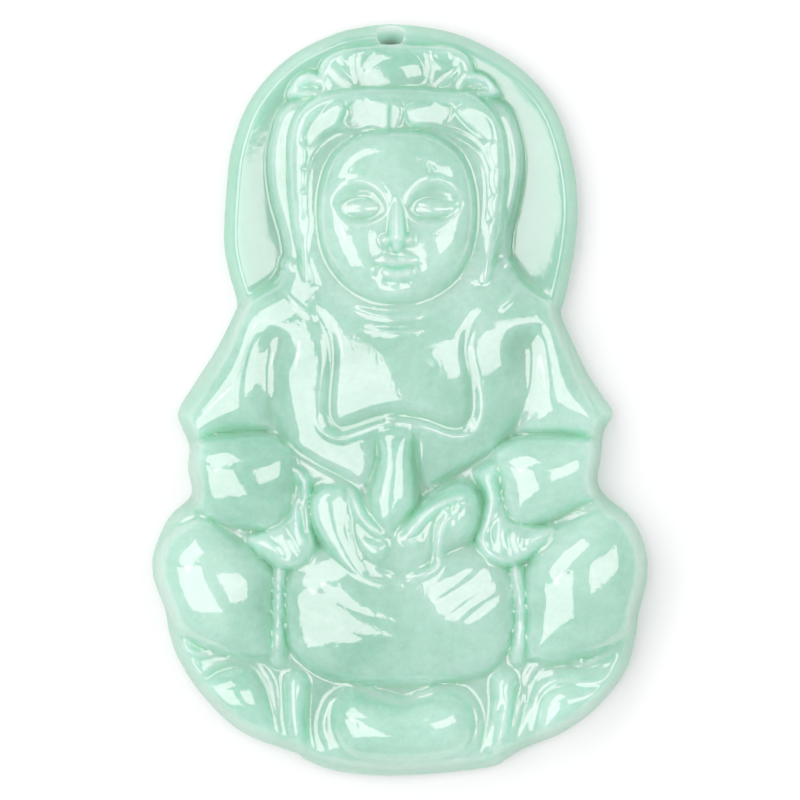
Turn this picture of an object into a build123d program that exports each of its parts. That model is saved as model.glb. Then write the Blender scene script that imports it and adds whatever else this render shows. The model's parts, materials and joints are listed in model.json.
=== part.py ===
"""A bodhisattva pendant carved from one piece of pale green jade.

The stone lies on its flat back. X runs to the right as one looks at the front, Y runs up to the head and
Z out of the carved front, and the origin is the middle of the back. Sizes are millimetres. The front is one
relief over a thin plate: domes, cushions, limbs, swellings and lines are laid over one another in the order
in which they overlap.
"""

import os
from collections import namedtuple

import numpy as np
from build123d import *

# Driving sizes
HEIGHT = 56.0
WIDTH = 36.9
THICKNESS = 8.0
GIRDLE = 1.7
RIM_ROUNDING = 1.5
BACK_CHAMFER = 0.5
CORD_HOLE_RADIUS = 1.05
CORD_HOLE_TILT = 35.0
CORD_HOLE_WALL = 0.15
FACET_WIDTH = 0.66
FACET_HEIGHT = 0.78

# The drawing of the relief. A place is in squares right of and above the grid's middle, so it is a share of
# WIDTH or HEIGHT. A half width is in squares too, and a height or depth is a percent of THICKNESS.
COLUMNS, ROWS = 49.7, 75.5
MIDDLE_X, MIDDLE_Y = -0.15, 0.15

# The halo is a shallow bowl: the height of its floor, its rise to the rim, the place of its middle, and how
# far from there the rise begins and ends
HALO_FLOOR, HALO_RISE = 32, 11
HALO_X, HALO_Y = -1.7, 20.0
HALO_START, HALO_END = 11.0, 19.0

# The edge of the stone, clockwise from the top: halo, shoulder, elbow, forearm, knee, lotus seat and back up
EDGE = [
    (-0.5, 37.9), (4.5, 37.2), (8.6, 35.6), (12.7, 32.8), (15.5, 29.2), (17.1, 24.4), (17.7, 19.6),
    (17.3, 14.8), (16.4, 10.4), (16.0, 8.8), (16.9, 6.6), (18.7, 2.8), (20.3, 0.4), (21.2, -1.2),
    (20.3, -3.0), (20.0, -5.6), (19.7, -8.0), (20.6, -9.6), (23.0, -11.6), (24.5, -14.8), (24.6, -18.0),
    (23.8, -21.2), (23.5, -23.6), (22.4, -27.2), (19.5, -30.8), (16.2, -33.2), (12.4, -34.8), (10.7, -35.8),
    (8.5, -36.8), (0.0, -37.6), (-6.1, -37.2), (-9.6, -36.0), (-10.6, -35.3), (-16.0, -33.2),
    (-19.9, -29.6), (-22.3, -26.0), (-23.3, -23.2), (-23.7, -21.0), (-24.9, -17.6), (-24.8, -15.0),
    (-23.3, -11.6), (-21.1, -9.4), (-21.4, -6.8), (-21.3, -4.4), (-22.0, -2.7), (-22.4, -1.0), (-20.9, 1.6),
    (-18.6, 5.2), (-16.8, 8.8), (-16.5, 10.0), (-17.3, 13.0), (-17.8, 16.0), (-17.6, 20.8), (-17.0, 25.6),
    (-15.1, 30.4), (-11.5, 34.4), (-7.0, 36.8), (-3.9, 37.6),
]  # fmt: skip

# A swelling is an oval that rises softly from what lies under it, and its rise is negative for a hollow
Swelling = namedtuple("Swelling", "x y half_width half_height turn rise")
# A dome fills its outline like a blown skin, from foot at the outline to top, or adds top where its foot is
# None. Its power is 1 for a low, even curve and 0.5 for a full round one
Dome = namedtuple("Dome", "foot top power outline")
# A facet is cut nearly flat within its outline: it rises by this much, and falls by lean in each square
# towards the bearing turn, in degrees from the right
Facet = namedtuple("Facet", "rise lean turn outline")
# A cushion rises from foot at its outline to a level top within a shoulder this wide
Cushion = namedtuple("Cushion", "foot top shoulder outline")
# A limb is a round ridge along points of (x, y, half width, top) that rises from foot
Limb = namedtuple("Limb", "foot points")
# A line is raised, or cut where rise is negative, along points of (x, y), and fades at both ends
Line = namedtuple("Line", "half_width rise points")

# The robed body and the shoulders
BODY = [
    Cushion(32, 50, 3.0, [
        (-16.5, 10.2), (-12.7, 11.9), (-11.4, 13.4), (0.0, 14.0), (10.6, 13.4), (12.0, 12.0), (16.4, 10.2),
        (17.6, 7.0), (26.0, 0.0), (26.0, -40.0), (-26.0, -40.0), (-26.0, 0.0), (-18.0, 7.0),
    ]),
    Dome(50, 77, 0.65, [
        (-15.6, 9.3), (-14.2, 10.6), (-12.6, 11.6), (-11.6, 13.0), (-10.4, 14.4), (0.0, 15.0), (9.8, 14.4),
        (10.9, 13.0), (12.2, 11.7), (13.8, 10.6), (15.1, 9.3), (16.4, 5.4), (17.9, 1.6), (19.4, -1.2),
        (19.4, -3.0), (18.0, -3.2), (15.0, -3.0), (12.0, -3.2), (10.4, -3.8), (8.1, -5.6), (5.4, -7.4),
        (2.7, -9.6), (0.4, -11.6), (-2.6, -12.4), (-6.0, -11.0), (-9.0, -9.0), (-11.4, -6.4), (-13.0, -3.6),
        (-15.0, -2.9), (-18.4, -3.2), (-20.6, -3.6), (-21.0, -1.4), (-19.3, 1.6), (-17.2, 5.4),
    ]),
]  # fmt: skip
# The hollows at the armpits, and the forearms in their sleeves
ARMS = [
    Line(1.7, -11, [(-12.2, 7.6), (-12.8, 5.4), (-13.2, 3.2), (-13.2, 0.8), (-12.9, -1.8), (-12.2, -5.0)]),
    Line(1.7, -11, [(12.0, 7.6), (12.5, 5.4), (12.6, 3.2), (12.4, 0.8), (11.8, -1.8), (10.8, -5.0)]),
    Dome(54, 77, 0.8, [
        (-21.0, -4.6), (-18.6, -3.5), (-14.6, -3.2), (-11.6, -3.9), (-10.2, -5.4), (-10.2, -7.8),
        (-10.8, -10.4), (-12.0, -12.4), (-13.6, -12.9), (-16.7, -12.4), (-19.8, -11.0), (-20.8, -9.4),
        (-21.0, -6.8),
    ]),
    Dome(54, 77, 0.8, [
        (9.2, -5.4), (10.6, -4.2), (12.4, -3.7), (15.5, -3.5), (18.3, -3.8), (19.6, -4.6), (19.5, -7.0),
        (19.4, -9.2), (16.9, -10.8), (14.4, -12.0), (12.1, -12.5), (10.6, -11.8), (9.9, -9.0),
    ]),
]  # fmt: skip
# The creases between the sleeves and the robe
SLEEVES = [
    Line(0.4, -4, [(-13.2, 0.8), (-12.9, -1.6), (-11.3, -4.2), (-8.6, -6.1), (-5.8, -7.6), (-4.0, -8.8)]),
    Line(0.4, -4, [(12.3, 0.8), (11.2, -2.8), (8.3, -5.3), (5.2, -7.4), (2.9, -8.7)]),
    Line(0.4, -4, [(-20.8, -4.0), (-18.5, -3.2), (-14.6, -2.9), (-11.8, -3.4)]),
    Line(0.4, -4, [(19.8, -4.0), (17.6, -3.4), (14.6, -3.2), (12.2, -3.4), (10.4, -3.8)]),
]  # fmt: skip
# The open cuffs that hang from the wrists
CUFFS = [
    Cushion(54, 72, 2.2, [
        (-11.0, -6.2), (-8.9, -7.4), (-9.2, -10.0), (-9.0, -12.6), (-8.6, -14.6), (-9.6, -16.2),
        (-11.4, -16.8), (-13.4, -16.0), (-15.4, -13.8), (-13.4, -12.8), (-11.6, -11.6), (-10.6, -9.0),
    ]),
    Cushion(54, 72, 2.2, [
        (9.4, -6.2), (7.4, -7.2), (8.4, -9.6), (8.0, -12.2), (7.4, -14.0), (8.4, -15.8), (10.4, -16.5),
        (12.8, -15.6), (15.4, -12.8), (13.0, -12.4), (10.8, -11.6), (10.0, -9.0),
    ]),
    Line(0.4, 4, [
        (-8.9, -7.4), (-9.5, -9.2), (-9.4, -11.0), (-9.2, -12.7), (-8.9, -14.5), (-9.8, -15.9),
        (-11.2, -16.4), (-12.9, -15.8),
    ]),
    Line(0.4, 4, [
        (7.5, -7.5), (8.4, -8.3), (8.8, -9.8), (8.5, -11.2), (7.9, -12.7), (7.9, -14.0), (8.6, -15.2),
        (9.9, -15.9), (11.3, -15.7), (12.9, -14.7), (14.4, -13.2),
    ]),
]  # fmt: skip
# The crossed legs, wide to both sides, and the robe's hem over them
KNEES = [
    Dome(56, 82, 0.8, [
        (-22.7, -13.2), (-20.4, -11.9), (-17.7, -12.9), (-15.1, -14.9), (-13.2, -17.0), (-13.0, -20.0),
        (-12.9, -23.3), (-13.4, -25.4), (-16.1, -25.2), (-18.6, -24.8), (-21.2, -23.5), (-23.4, -20.9),
        (-24.3, -18.0), (-24.0, -15.0),
    ]),
    Dome(56, 82, 0.8, [
        (12.6, -25.2), (12.4, -21.6), (12.4, -18.0), (13.7, -14.6), (16.1, -12.6), (19.4, -11.3),
        (22.1, -11.9), (23.8, -14.2), (24.1, -16.8), (23.5, -19.8), (22.6, -22.6), (20.3, -24.7),
        (17.0, -25.6), (13.6, -25.8),
    ]),
    Line(0.4, 5, [(-20.6, -11.0), (-18.4, -11.7), (-15.6, -13.7), (-12.9, -16.1)]),
    Line(0.4, 5, [(20.4, -10.2), (17.6, -11.2), (14.9, -13.2), (12.9, -15.6)]),
]  # fmt: skip
# The lap and the two straps that fall beside it
LAP = [
    Dome(56, 80, 0.8, [
        (-11.3, -18.0), (-9.6, -15.4), (-6.0, -14.0), (0.0, -13.4), (6.0, -13.8), (9.2, -15.2),
        (10.9, -18.0), (11.2, -21.0), (10.7, -23.9), (9.2, -26.3), (6.8, -27.5), (2.2, -28.1),
        (-2.8, -28.1), (-6.4, -27.6), (-9.0, -26.5), (-11.1, -24.3), (-11.6, -21.0),
    ]),
    Line(0.4, -0.5, [(-10.2, -16.2), (-7.6, -18.8), (-5.0, -20.6), (-2.0, -21.8), (1.0, -22.4)]),
    Line(0.4, -0.9, [(3.0, -19.6), (5.0, -18.4), (7.6, -16.6)]),
    Line(0.4, -0.9, [(6.0, -22.0), (8.0, -20.4), (10.0, -19.2)]),
    Limb(40, [
        (-12.2, -17.0, 0.8, 60), (-12.3, -20.0, 0.7, 66), (-12.3, -23.6, 0.8, 64), (-12.4, -25.6, 1.1, 58),
    ]),
    Limb(40, [
        (11.4, -17.0, 0.9, 60), (11.8, -20.0, 0.7, 66), (11.8, -23.6, 0.8, 64), (11.6, -25.4, 1.1, 58),
    ]),
]  # fmt: skip
# The bare chest and the robe's neckline round it
CHEST = [
    Swelling(2.4, 3.4, 11.5, 9.0, 0, 7.5),
    Line(0.6, -5.0, [
        (-9.2, 9.4), (-7.8, 7.8), (-7.1, 6.2), (-6.9, 4.0), (-7.2, 0.6), (-7.1, -1.6), (-6.2, -2.6),
        (-4.6, -2.3), (-2.6, -1.6), (0.0, -1.3), (2.6, -1.7), (4.8, -2.5), (6.2, -2.3), (6.9, -1.0),
        (6.9, 2.0), (6.4, 5.0), (6.9, 7.4), (8.2, 9.2),
    ]),
]  # fmt: skip
# The hands, joined low round the vase
HANDS = [
    Dome(60, 80, 0.6, [
        (-7.6, -8.4), (-8.8, -10.0), (-8.7, -12.2), (-7.5, -14.2), (-5.8, -16.2), (-4.4, -17.6),
        (-1.6, -18.6), (0.6, -18.4), (2.4, -17.6), (3.9, -16.8), (4.8, -15.2), (6.8, -13.9), (7.7, -12.0),
        (7.8, -9.9), (6.9, -8.5), (5.4, -8.2), (2.6, -9.4), (0.0, -11.0), (-3.4, -9.2), (-5.6, -8.2),
    ]),
    Dome(74, 79, 0.9, [
        (-8.4, -9.4), (-7.2, -8.7), (-5.7, -9.2), (-5.4, -11.4), (-5.3, -13.6), (-4.4, -15.4),
        (-3.5, -17.2), (-4.4, -17.4), (-5.9, -16.0), (-7.4, -14.0), (-8.4, -12.2), (-8.7, -10.6),
    ]),
    Dome(None, 6.0, 0.9, [
        (-5.4, -8.8), (-4.4, -9.0), (-3.4, -11.0), (-1.8, -12.8), (-1.6, -13.6), (-2.8, -13.4),
        (-4.6, -11.6),
    ]),
    Dome(None, 6.0, 0.9, [
        (-4.0, -8.6), (-3.0, -8.8), (-2.4, -10.8), (-1.0, -12.6), (-0.9, -13.4), (-2.0, -12.6),
        (-3.4, -11.0),
    ]),
    Dome(None, 5.0, 0.9, [
        (-4.2, -13.8), (-2.6, -14.0), (-1.4, -13.8), (-1.4, -15.0), (-2.2, -16.2), (-3.4, -15.4),
    ]),
    Dome(None, 8.0, 0.9, [
        (0.2, -13.4), (0.8, -12.0), (2.0, -10.6), (3.8, -9.6), (5.6, -9.0), (6.6, -9.0), (6.4, -9.8),
        (4.6, -10.4), (3.0, -11.4), (1.8, -12.8), (0.8, -13.6),
    ]),
    Dome(None, 5.0, 0.9, [
        (5.0, -10.4), (6.3, -9.4), (7.3, -9.8), (7.4, -11.6), (6.9, -13.1), (5.7, -13.9), (4.9, -13.2),
        (4.6, -11.8),
    ]),
]  # fmt: skip
# The slender vase that stands in the hands
VASE = [
    Limb(74, [
        (-0.6, -2.6, 1.5, 76), (-0.6, -3.4, 1.7, 82), (-0.6, -5.6, 1.6, 86), (-0.8, -8.0, 2.0, 88),
        (-1.0, -9.8, 2.2, 89), (-1.3, -11.4, 1.6, 88), (-1.4, -13.0, 0.6, 82),
    ]),
    Line(0.4, -4, [(-2.6, -3.2), (-2.5, -5.4), (-2.9, -7.4), (-3.6, -8.8)]),
    Line(0.4, -4, [(1.5, -3.0), (1.4, -5.4), (1.8, -7.4), (2.6, -8.9)]),
]  # fmt: skip
# The lotus seat's petals
SEAT = [
    Dome(40, 64, 0.8, [
        (-22.2, -25.2), (-20.8, -26.7), (-19.9, -27.5), (-18.4, -26.5), (-15.4, -26.0), (-14.0, -26.8),
        (-13.0, -28.7), (-12.6, -30.8), (-12.0, -34.2), (-13.8, -34.0), (-17.0, -32.8), (-20.2, -29.8),
        (-21.8, -27.2),
    ]),
    Dome(40, 58, 0.5, [
        (12.2, -34.0), (12.4, -29.6), (13.0, -26.9), (14.8, -25.8), (18.0, -26.2), (20.2, -25.6),
        (22.4, -24.2), (22.6, -26.6), (19.4, -30.6), (16.6, -32.7), (14.4, -33.8),
    ]),
    Dome(50, 67, 0.8, [
        (13.4, -33.6), (13.5, -30.0), (14.5, -28.4), (16.2, -27.8), (18.2, -28.1), (20.2, -28.0),
        (21.6, -26.8), (21.2, -28.6), (19.2, -30.8), (16.6, -32.6), (14.6, -33.8),
    ]),
    Dome(44, 61, 0.9, [
        (-12.0, -27.2), (-11.0, -26.6), (-9.8, -26.8), (-8.9, -27.6), (-9.1, -29.5), (-9.2, -32.0),
        (-9.0, -35.2), (-10.6, -35.2), (-11.4, -34.0), (-12.0, -31.0),
    ]),
    Dome(44, 61, 0.9, [
        (8.6, -27.4), (9.6, -26.8), (10.8, -26.6), (11.8, -27.2), (11.6, -30.0), (11.0, -34.2),
        (9.8, -35.2), (8.6, -35.6), (8.9, -32.0),
    ]),
    Dome(44, 61, 0.5, [
        (-8.5, -32.8), (-8.2, -31.2), (-7.5, -29.5), (-5.8, -28.1), (-4.1, -28.0), (-2.1, -28.8),
        (-0.1, -29.5), (1.9, -28.8), (3.5, -28.1), (5.2, -28.0), (6.9, -28.8), (7.9, -30.5), (8.2, -32.6),
        (7.6, -35.4), (4.0, -36.5), (-0.1, -36.9), (-4.5, -36.6), (-7.8, -35.5),
    ]),
    Dome(54, 76, 0.8, [
        (-7.0, -31.4), (-6.3, -29.7), (-4.8, -29.1), (-2.8, -29.7), (-0.1, -30.3), (2.2, -29.7),
        (4.5, -29.0), (6.5, -29.9), (7.2, -31.9), (6.8, -33.9), (4.9, -35.4), (-0.1, -36.1), (-4.8, -35.5),
        (-6.6, -33.7),
    ]),
    Line(0.45, -4, [(-10.6, -34.9), (-6.0, -36.4), (0.0, -37.0), (6.0, -36.5), (10.6, -35.0)]),
]  # fmt: skip
# The hood over the head, and its rolled edges
HOOD = [
    Cushion(34, 55, 2.2, [
        (-11.4, 30.0), (-13.0, 27.0), (-13.4, 23.6), (-12.9, 20.0), (-12.0, 17.0), (-11.6, 14.4),
        (-11.4, 11.0), (0.0, 5.0), (11.4, 11.0), (11.0, 14.4), (11.1, 17.0), (11.8, 20.0), (12.3, 23.6),
        (11.9, 27.0), (10.4, 30.0), (5.0, 31.6), (-6.0, 31.6),
    ]),
    Cushion(55, 66, 1.1, [
        (-11.3, 24.0), (-11.1, 26.8), (-10.3, 28.9), (-8.4, 30.4), (-5.2, 31.2), (-1.0, 31.4), (3.2, 31.2),
        (6.8, 30.7), (8.8, 29.4), (10.0, 27.4), (10.5, 24.0), (10.3, 20.0), (9.5, 15.0), (7.2, 10.4),
        (-0.4, 8.4), (-7.8, 10.4), (-10.2, 15.0), (-11.1, 20.0),
    ]),
    Line(0.4, 3.0, [
        (-9.8, 30.1), (-11.6, 28.8), (-12.2, 27.4), (-12.6, 25.4), (-12.7, 23.5), (-12.5, 21.1),
        (-11.9, 18.9), (-11.3, 16.7), (-11.1, 14.8), (-11.7, 13.1), (-13.2, 11.7), (-15.6, 10.5),
    ]),
    Line(0.4, 3.0, [
        (9.0, 30.1), (10.3, 28.6), (11.1, 27.1), (11.4, 25.4), (11.6, 23.5), (11.3, 21.1), (10.6, 18.4),
        (10.2, 16.5), (10.3, 14.8), (11.2, 13.1), (12.7, 11.8), (15.4, 10.5),
    ]),
]  # fmt: skip
# The neck and its two folds
NECK = [
    Limb(50, [(-0.4, 13.0, 5.8, 64), (-0.4, 9.6, 5.6, 69), (-0.4, 7.6, 5.0, 72)]),
    Limb(60, [
        (-6.6, 10.6, 0.5, 66), (-4.2, 9.0, 0.6, 73), (-0.6, 8.3, 0.6, 76), (2.8, 8.9, 0.6, 73),
        (5.2, 10.4, 0.5, 66),
    ]),
    Limb(60, [
        (-6.2, 8.4, 0.4, 66), (-3.4, 7.2, 0.5, 75), (-0.6, 6.8, 0.5, 78), (2.2, 7.2, 0.5, 75),
        (4.8, 8.3, 0.4, 66),
    ]),
]  # fmt: skip
# The locks of hair between the hood and the face
HAIR = [
    Facet(1.6, 2.0, 190, [
        (-9.9, 26.3), (-9.4, 27.5), (-8.2, 28.6), (-7.3, 29.5), (-6.2, 29.9), (-5.6, 29.2), (-6.2, 27.7),
        (-7.0, 27.1), (-8.4, 26.5), (-9.3, 25.6),
    ]),
    Facet(1.6, 2.1, 180, [
        (-5.3, 29.8), (-3.4, 30.2), (-1.3, 29.9), (-1.2, 28.6), (-1.4, 27.0), (-3.2, 27.3), (-5.4, 27.6),
        (-5.2, 28.7),
    ]),
    Facet(1.6, 1.9, 15, [
        (0.5, 29.3), (2.3, 29.8), (5.0, 29.6), (5.0, 28.3), (4.2, 27.7), (1.4, 27.4), (0.5, 28.2),
    ]),
    Facet(1.6, 1.9, 20, [
        (5.4, 29.0), (6.6, 29.7), (8.0, 28.9), (9.1, 27.4), (9.0, 26.0), (8.0, 26.3), (6.4, 27.6),
    ]),
]  # fmt: skip
# The long ears
EARS = [
    Limb(50, [(-9.0, 18.6, 0.8, 64), (-9.4, 16.4, 0.8, 65), (-9.3, 14.0, 0.7, 64), (-9.2, 12.0, 0.9, 65)]),
    Limb(50, [(8.4, 18.6, 0.8, 64), (8.7, 16.4, 0.8, 65), (8.4, 14.0, 0.7, 64), (8.1, 12.0, 0.9, 65)]),
]  # fmt: skip
# The low crown with its plaque, scrolls and side jewels
CROWN = [
    Cushion(42, 53, 0.9, [
        (-8.8, 30.0), (-8.6, 31.6), (-8.3, 33.0), (-7.7, 34.3), (-6.4, 35.1), (-4.6, 35.5), (-2.8, 35.7),
        (-0.6, 35.8), (1.8, 35.7), (4.2, 35.6), (6.0, 35.1), (7.0, 34.0), (7.4, 31.8), (7.4, 29.8),
        (4.0, 29.2), (-5.0, 29.2),
    ]),
    Dome(53, 58, 0.9, [
        (-0.8, 35.2), (0.8, 34.8), (1.9, 33.8), (2.1, 32.5), (1.4, 31.4), (-0.8, 31.0), (-3.0, 31.4),
        (-3.8, 32.5), (-3.6, 33.8), (-2.5, 34.8),
    ]),
    Dome(None, 2.2, 0.8, [
        (-7.5, 33.9), (-6.6, 33.4), (-5.4, 32.4), (-4.7, 31.5), (-5.2, 31.2), (-6.2, 31.9), (-7.2, 33.0),
    ]),
    Dome(None, 2.2, 0.8, [
        (5.6, 33.5), (4.7, 32.9), (3.8, 32.2), (3.1, 31.4), (3.6, 31.2), (4.6, 31.8), (5.6, 32.8),
    ]),
    Dome(42, 54, 0.45, [
        (-11.3, 30.5), (-10.9, 31.9), (-10.1, 32.7), (-9.0, 32.9), (-7.9, 32.3), (-6.9, 31.0), (-8.0, 30.5),
        (-9.8, 30.4),
    ]),
    Dome(None, -5, 0.7, [
        (-10.3, 31.1), (-9.9, 31.9), (-9.0, 32.1), (-8.2, 31.7), (-7.9, 31.1), (-9.2, 30.9),
    ]),
    Dome(42, 54, 0.45, [
        (4.9, 30.9), (5.7, 32.2), (6.8, 32.9), (8.0, 32.8), (9.0, 32.1), (9.9, 30.7), (9.0, 30.4),
        (6.4, 30.5),
    ]),
    Dome(None, -5, 0.7, [(5.9, 31.2), (6.6, 32.0), (7.6, 32.2), (8.4, 31.8), (8.8, 31.1), (7.6, 30.9)]),
]  # fmt: skip

# The face, in squares from its own middle: a calm bodhisattva's, in equal thirds from hairline to chin
FACE_X, FACE_Y = -0.45, 18.4
FACE = [
    Cushion(62, 82, 2.8, [
        (0.0, 8.8), (3.6, 8.3), (6.4, 6.4), (7.7, 3.2), (7.9, -0.6), (7.1, -4.2), (5.0, -7.1), (2.4, -8.7),
        (0.0, -9.0), (-2.4, -8.7), (-5.0, -7.1), (-7.1, -4.2), (-7.9, -0.6), (-7.7, 3.2), (-6.4, 6.4),
        (-3.6, 8.3),
    ]),
    Dome(None, 5.0, 1.0, [
        (0.0, 8.8), (3.6, 8.3), (6.4, 6.4), (7.7, 3.2), (7.9, -0.6), (7.1, -4.2), (5.0, -7.1), (2.4, -8.7),
        (0.0, -9.0), (-2.4, -8.7), (-5.0, -7.1), (-7.1, -4.2), (-7.9, -0.6), (-7.7, 3.2), (-6.4, 6.4),
        (-3.6, 8.3),
    ]),
]  # fmt: skip
# Each is drawn on the right of the face and mirrored onto the left
FACE_PAIRS = [
    Swelling(3.9, -3.4, 3.2, 3.4, 0, 3.0),
    Dome(None, -4.6, 0.6, [
        (1.0, 1.0), (1.6, 2.2), (2.7, 3.0), (4.1, 3.2), (5.4, 2.7), (6.5, 1.5), (6.0, 0.4), (4.9, -0.5),
        (3.4, -0.8), (2.0, -0.4), (1.2, 0.2),
    ]),
    Swelling(3.6, 0.75, 2.3, 1.2, -4, 4.2),
    Swelling(1.15, -2.35, 0.85, 0.75, 0, 4.5),
    Swelling(2.3, -4.95, 0.5, 0.45, 0, -1.5),
]  # fmt: skip
FACE_MIDDLE = [
    Limb(76, [
        (0.0, 2.4, 0.9, 84), (0.0, 1.4, 0.8, 89), (0.0, 0.0, 0.9, 94), (0.0, -1.6, 1.0, 99),
        (0.0, -2.3, 1.0, 100), (0.0, -2.9, 0.7, 94),
    ]),
    Line(0.4, 3.6, [(-2.0, -4.8), (-1.1, -4.4), (0.0, -4.6), (1.1, -4.4), (2.0, -4.8)]),
    Line(0.45, 4.2, [(-1.6, -5.3), (-0.8, -5.75), (0.0, -5.85), (0.8, -5.75), (1.6, -5.3)]),
    Line(0.5, -1.8, [(-1.5, -6.4), (0.0, -6.75), (1.5, -6.4)]),
    Swelling(0.0, -7.4, 2.2, 1.5, 0, 3.6),
]  # fmt: skip
# Percent of THICKNESS: the fillet where two forms meet, and how steeply a form's side falls in one square
FILLET, SIDE = 4, 9
# Squares from a facet's outline to its flat
FACET_BEVEL = 0.35


def smooth_curve(points, closed=False, steps=6):
    """Catmull-Rom curve: a cubic from point to point, whose slope at a point joins its two neighbours."""
    p = np.array(points, dtype=float)
    if closed:
        p = np.vstack([p[-1:], p, p[:2]])
    else:
        p = np.vstack([2 * p[0] - p[1], p, 2 * p[-1] - p[-2]])
    t = np.linspace(0, 1, steps, endpoint=False)[None, :, None]
    a, b, c, d = (p[i : len(p) - 3 + i, None, :] for i in range(4))
    curve = b + 0.5 * t * (c - a + t * (2 * a - 5 * b + 4 * c - d + t * (3 * (b - c) + d - a)))
    return np.vstack([curve.reshape(-1, p.shape[1]), p[-2:-1]])


def nearest(x, y, curve):
    """Distance from each place to a curve of straight steps, and how far along it the nearest point lies."""
    best, along = np.full(x.shape, 1e9), np.zeros(x.shape)
    for i, (start, end) in enumerate(zip(curve[:-1, :2], curve[1:, :2])):
        step = end - start
        t = ((x - start[0]) * step[0] + (y - start[1]) * step[1]) / (step @ step + 1e-12)
        t = np.clip(t, 0, 1)
        away = np.hypot(x - start[0] - t * step[0], y - start[1] - t * step[1])
        along = np.where(away < best, i + t, along)
        best = np.minimum(best, away)
    return best, along


def inside(x, y, loop):
    """True where a line drawn to the right crosses the closed curve an odd number of times."""
    odd = np.zeros(x.shape, dtype=bool)
    for (x0, y0), (x1, y1) in zip(loop[:-1, :2], loop[1:, :2]):
        if y0 != y1:
            crosses = ((y0 > y) != (y1 > y)) & (x < x0 + (y - y0) * (x1 - x0) / (y1 - y0))
            odd ^= crosses
    return odd


def blown(x, y, loop):
    """How far a skin over the closed curve would swell at places inside it: twice the reciprocal of the sum,
    over the curve's steps, of tan(half the angle seen) times the sum of both ends' 1 / distance."""
    total = np.zeros(x.shape)
    for (x0, y0), (x1, y1) in zip(loop[:-1, :2], loop[1:, :2]):
        ax, ay, bx, by = x0 - x, y0 - y, x1 - x, y1 - y
        ra, rb = np.hypot(ax, ay) + 1e-9, np.hypot(bx, by) + 1e-9
        cross = ax * by - ay * bx
        half_angle = (ra * rb - ax * bx - ay * by) / np.where(np.abs(cross) < 1e-12, 1e-12, cross)
        total += half_angle * (1 / ra + 1 / rb)
    return 2 / np.maximum(np.abs(total), 1e-9)


def over(z, form):
    """The higher of the two surfaces, with a small fillet where they meet."""
    near = np.clip(1 - np.abs(z - form) / FILLET, 0, None)
    return np.maximum(z, form) + near**2 * FILLET / 4


def box_round(x, y, low, high, margin):
    """True at the places within this margin of a box."""
    near = (x > low[0] - margin) & (x < high[0] + margin)
    return near & (y > low[1] - margin) & (y < high[1] + margin)


def carve(z, x, y, form):
    """The relief with one more form on it. Round its foot, a form's side falls straight to the ground."""
    z = z.copy()
    if isinstance(form, Swelling):
        turn = np.radians(form.turn)
        u = ((x - form.x) * np.cos(turn) + (y - form.y) * np.sin(turn)) / form.half_width
        v = ((y - form.y) * np.cos(turn) - (x - form.x) * np.sin(turn)) / form.half_height
        return z + form.rise * np.clip(1 - u**2 - v**2, 0, 1) ** 2
    closed = isinstance(form, (Cushion, Dome, Facet))
    curve = smooth_curve(form.outline if closed else form.points, closed)
    low, high = curve[:, :2].min(axis=0), curve[:, :2].max(axis=0)
    if isinstance(form, Cushion):
        near = box_round(x, y, low, high, 1.5)
        deep = nearest(x[near], y[near], curve)[0] * np.where(inside(x[near], y[near], curve), 1, -1)
        share = np.clip(deep / form.shoulder, 0, 1)
        rise = (form.top - form.foot) * np.sqrt(1 - (1 - share) ** 2)
        z[near] = over(z[near], form.foot + rise + SIDE * np.minimum(deep, 0))
        return z
    if isinstance(form, Facet):
        within = box_round(x, y, low, high, 0)
        within[within] = inside(x[within], y[within], curve)
        deep = np.clip(nearest(x[within], y[within], curve)[0] / FACET_BEVEL, 0, 1)
        turn, middle = np.radians(form.turn), (low + high) / 2
        beyond = (x[within] - middle[0]) * np.cos(turn) + (y[within] - middle[1]) * np.sin(turn)
        z[within] += (form.rise - form.lean * beyond) * deep * (2 - deep)
        return z
    if isinstance(form, Dome):
        near = box_round(x, y, low, high, 1.5)
        within = near.copy()
        within[near] = inside(x[near], y[near], curve)
        swell = blown(x[within], y[within], curve)
        middle = (low + high) / 2
        share = (swell / max(swell.max(initial=0), blown(middle[:1], middle[1:], curve)[0])) ** form.power
        if form.foot is None:
            z[within] += form.top * share
            return z
        ring = near & ~within
        z[ring] = over(z[ring], form.foot - SIDE * nearest(x[ring], y[ring], curve)[0])
        z[within] = over(z[within], form.foot + (form.top - form.foot) * share)
        return z
    margin = curve[:, 2].max() + 1.5 if isinstance(form, Limb) else 2.6 * form.half_width
    near = box_round(x, y, low, high, margin)
    if not near.any():
        return z
    away, along = nearest(x[near], y[near], curve)
    places = np.arange(len(curve))
    if isinstance(form, Limb):
        half_width, top = (np.interp(along, places, curve[:, i]) for i in (2, 3))
        ridge = form.foot + (top - form.foot) * np.sqrt(np.clip(1 - (away / half_width) ** 2, 0, 1))
        z[near] = over(z[near], ridge - SIDE * np.clip(away - half_width, 0, None))
        return z
    end = np.clip(np.minimum(along, places[-1] - along) / (0.25 * places[-1]), 0, 1)
    z[near] += form.rise * end * (2 - end) * np.exp(-((away / form.half_width) ** 2))
    return z


def mirrored(form):
    """The same form on the other side of the middle line."""
    if isinstance(form, Swelling):
        return form._replace(x=-form.x, turn=-form.turn)
    drawn = "outline" if isinstance(form, Dome) else "points"
    return form._replace(**{drawn: [(-p[0],) + tuple(p[1:]) for p in getattr(form, drawn)]})


def halo_height(x, y):
    """Height of the halo's bowl in percent of THICKNESS: half a cosine wave from its floor to the rim."""
    share = np.clip((np.hypot(x - HALO_X, y - HALO_Y) - HALO_START) / (HALO_END - HALO_START), 0, 1)
    return HALO_FLOOR + HALO_RISE * (1 - np.cos(np.pi * share)) / 2


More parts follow.
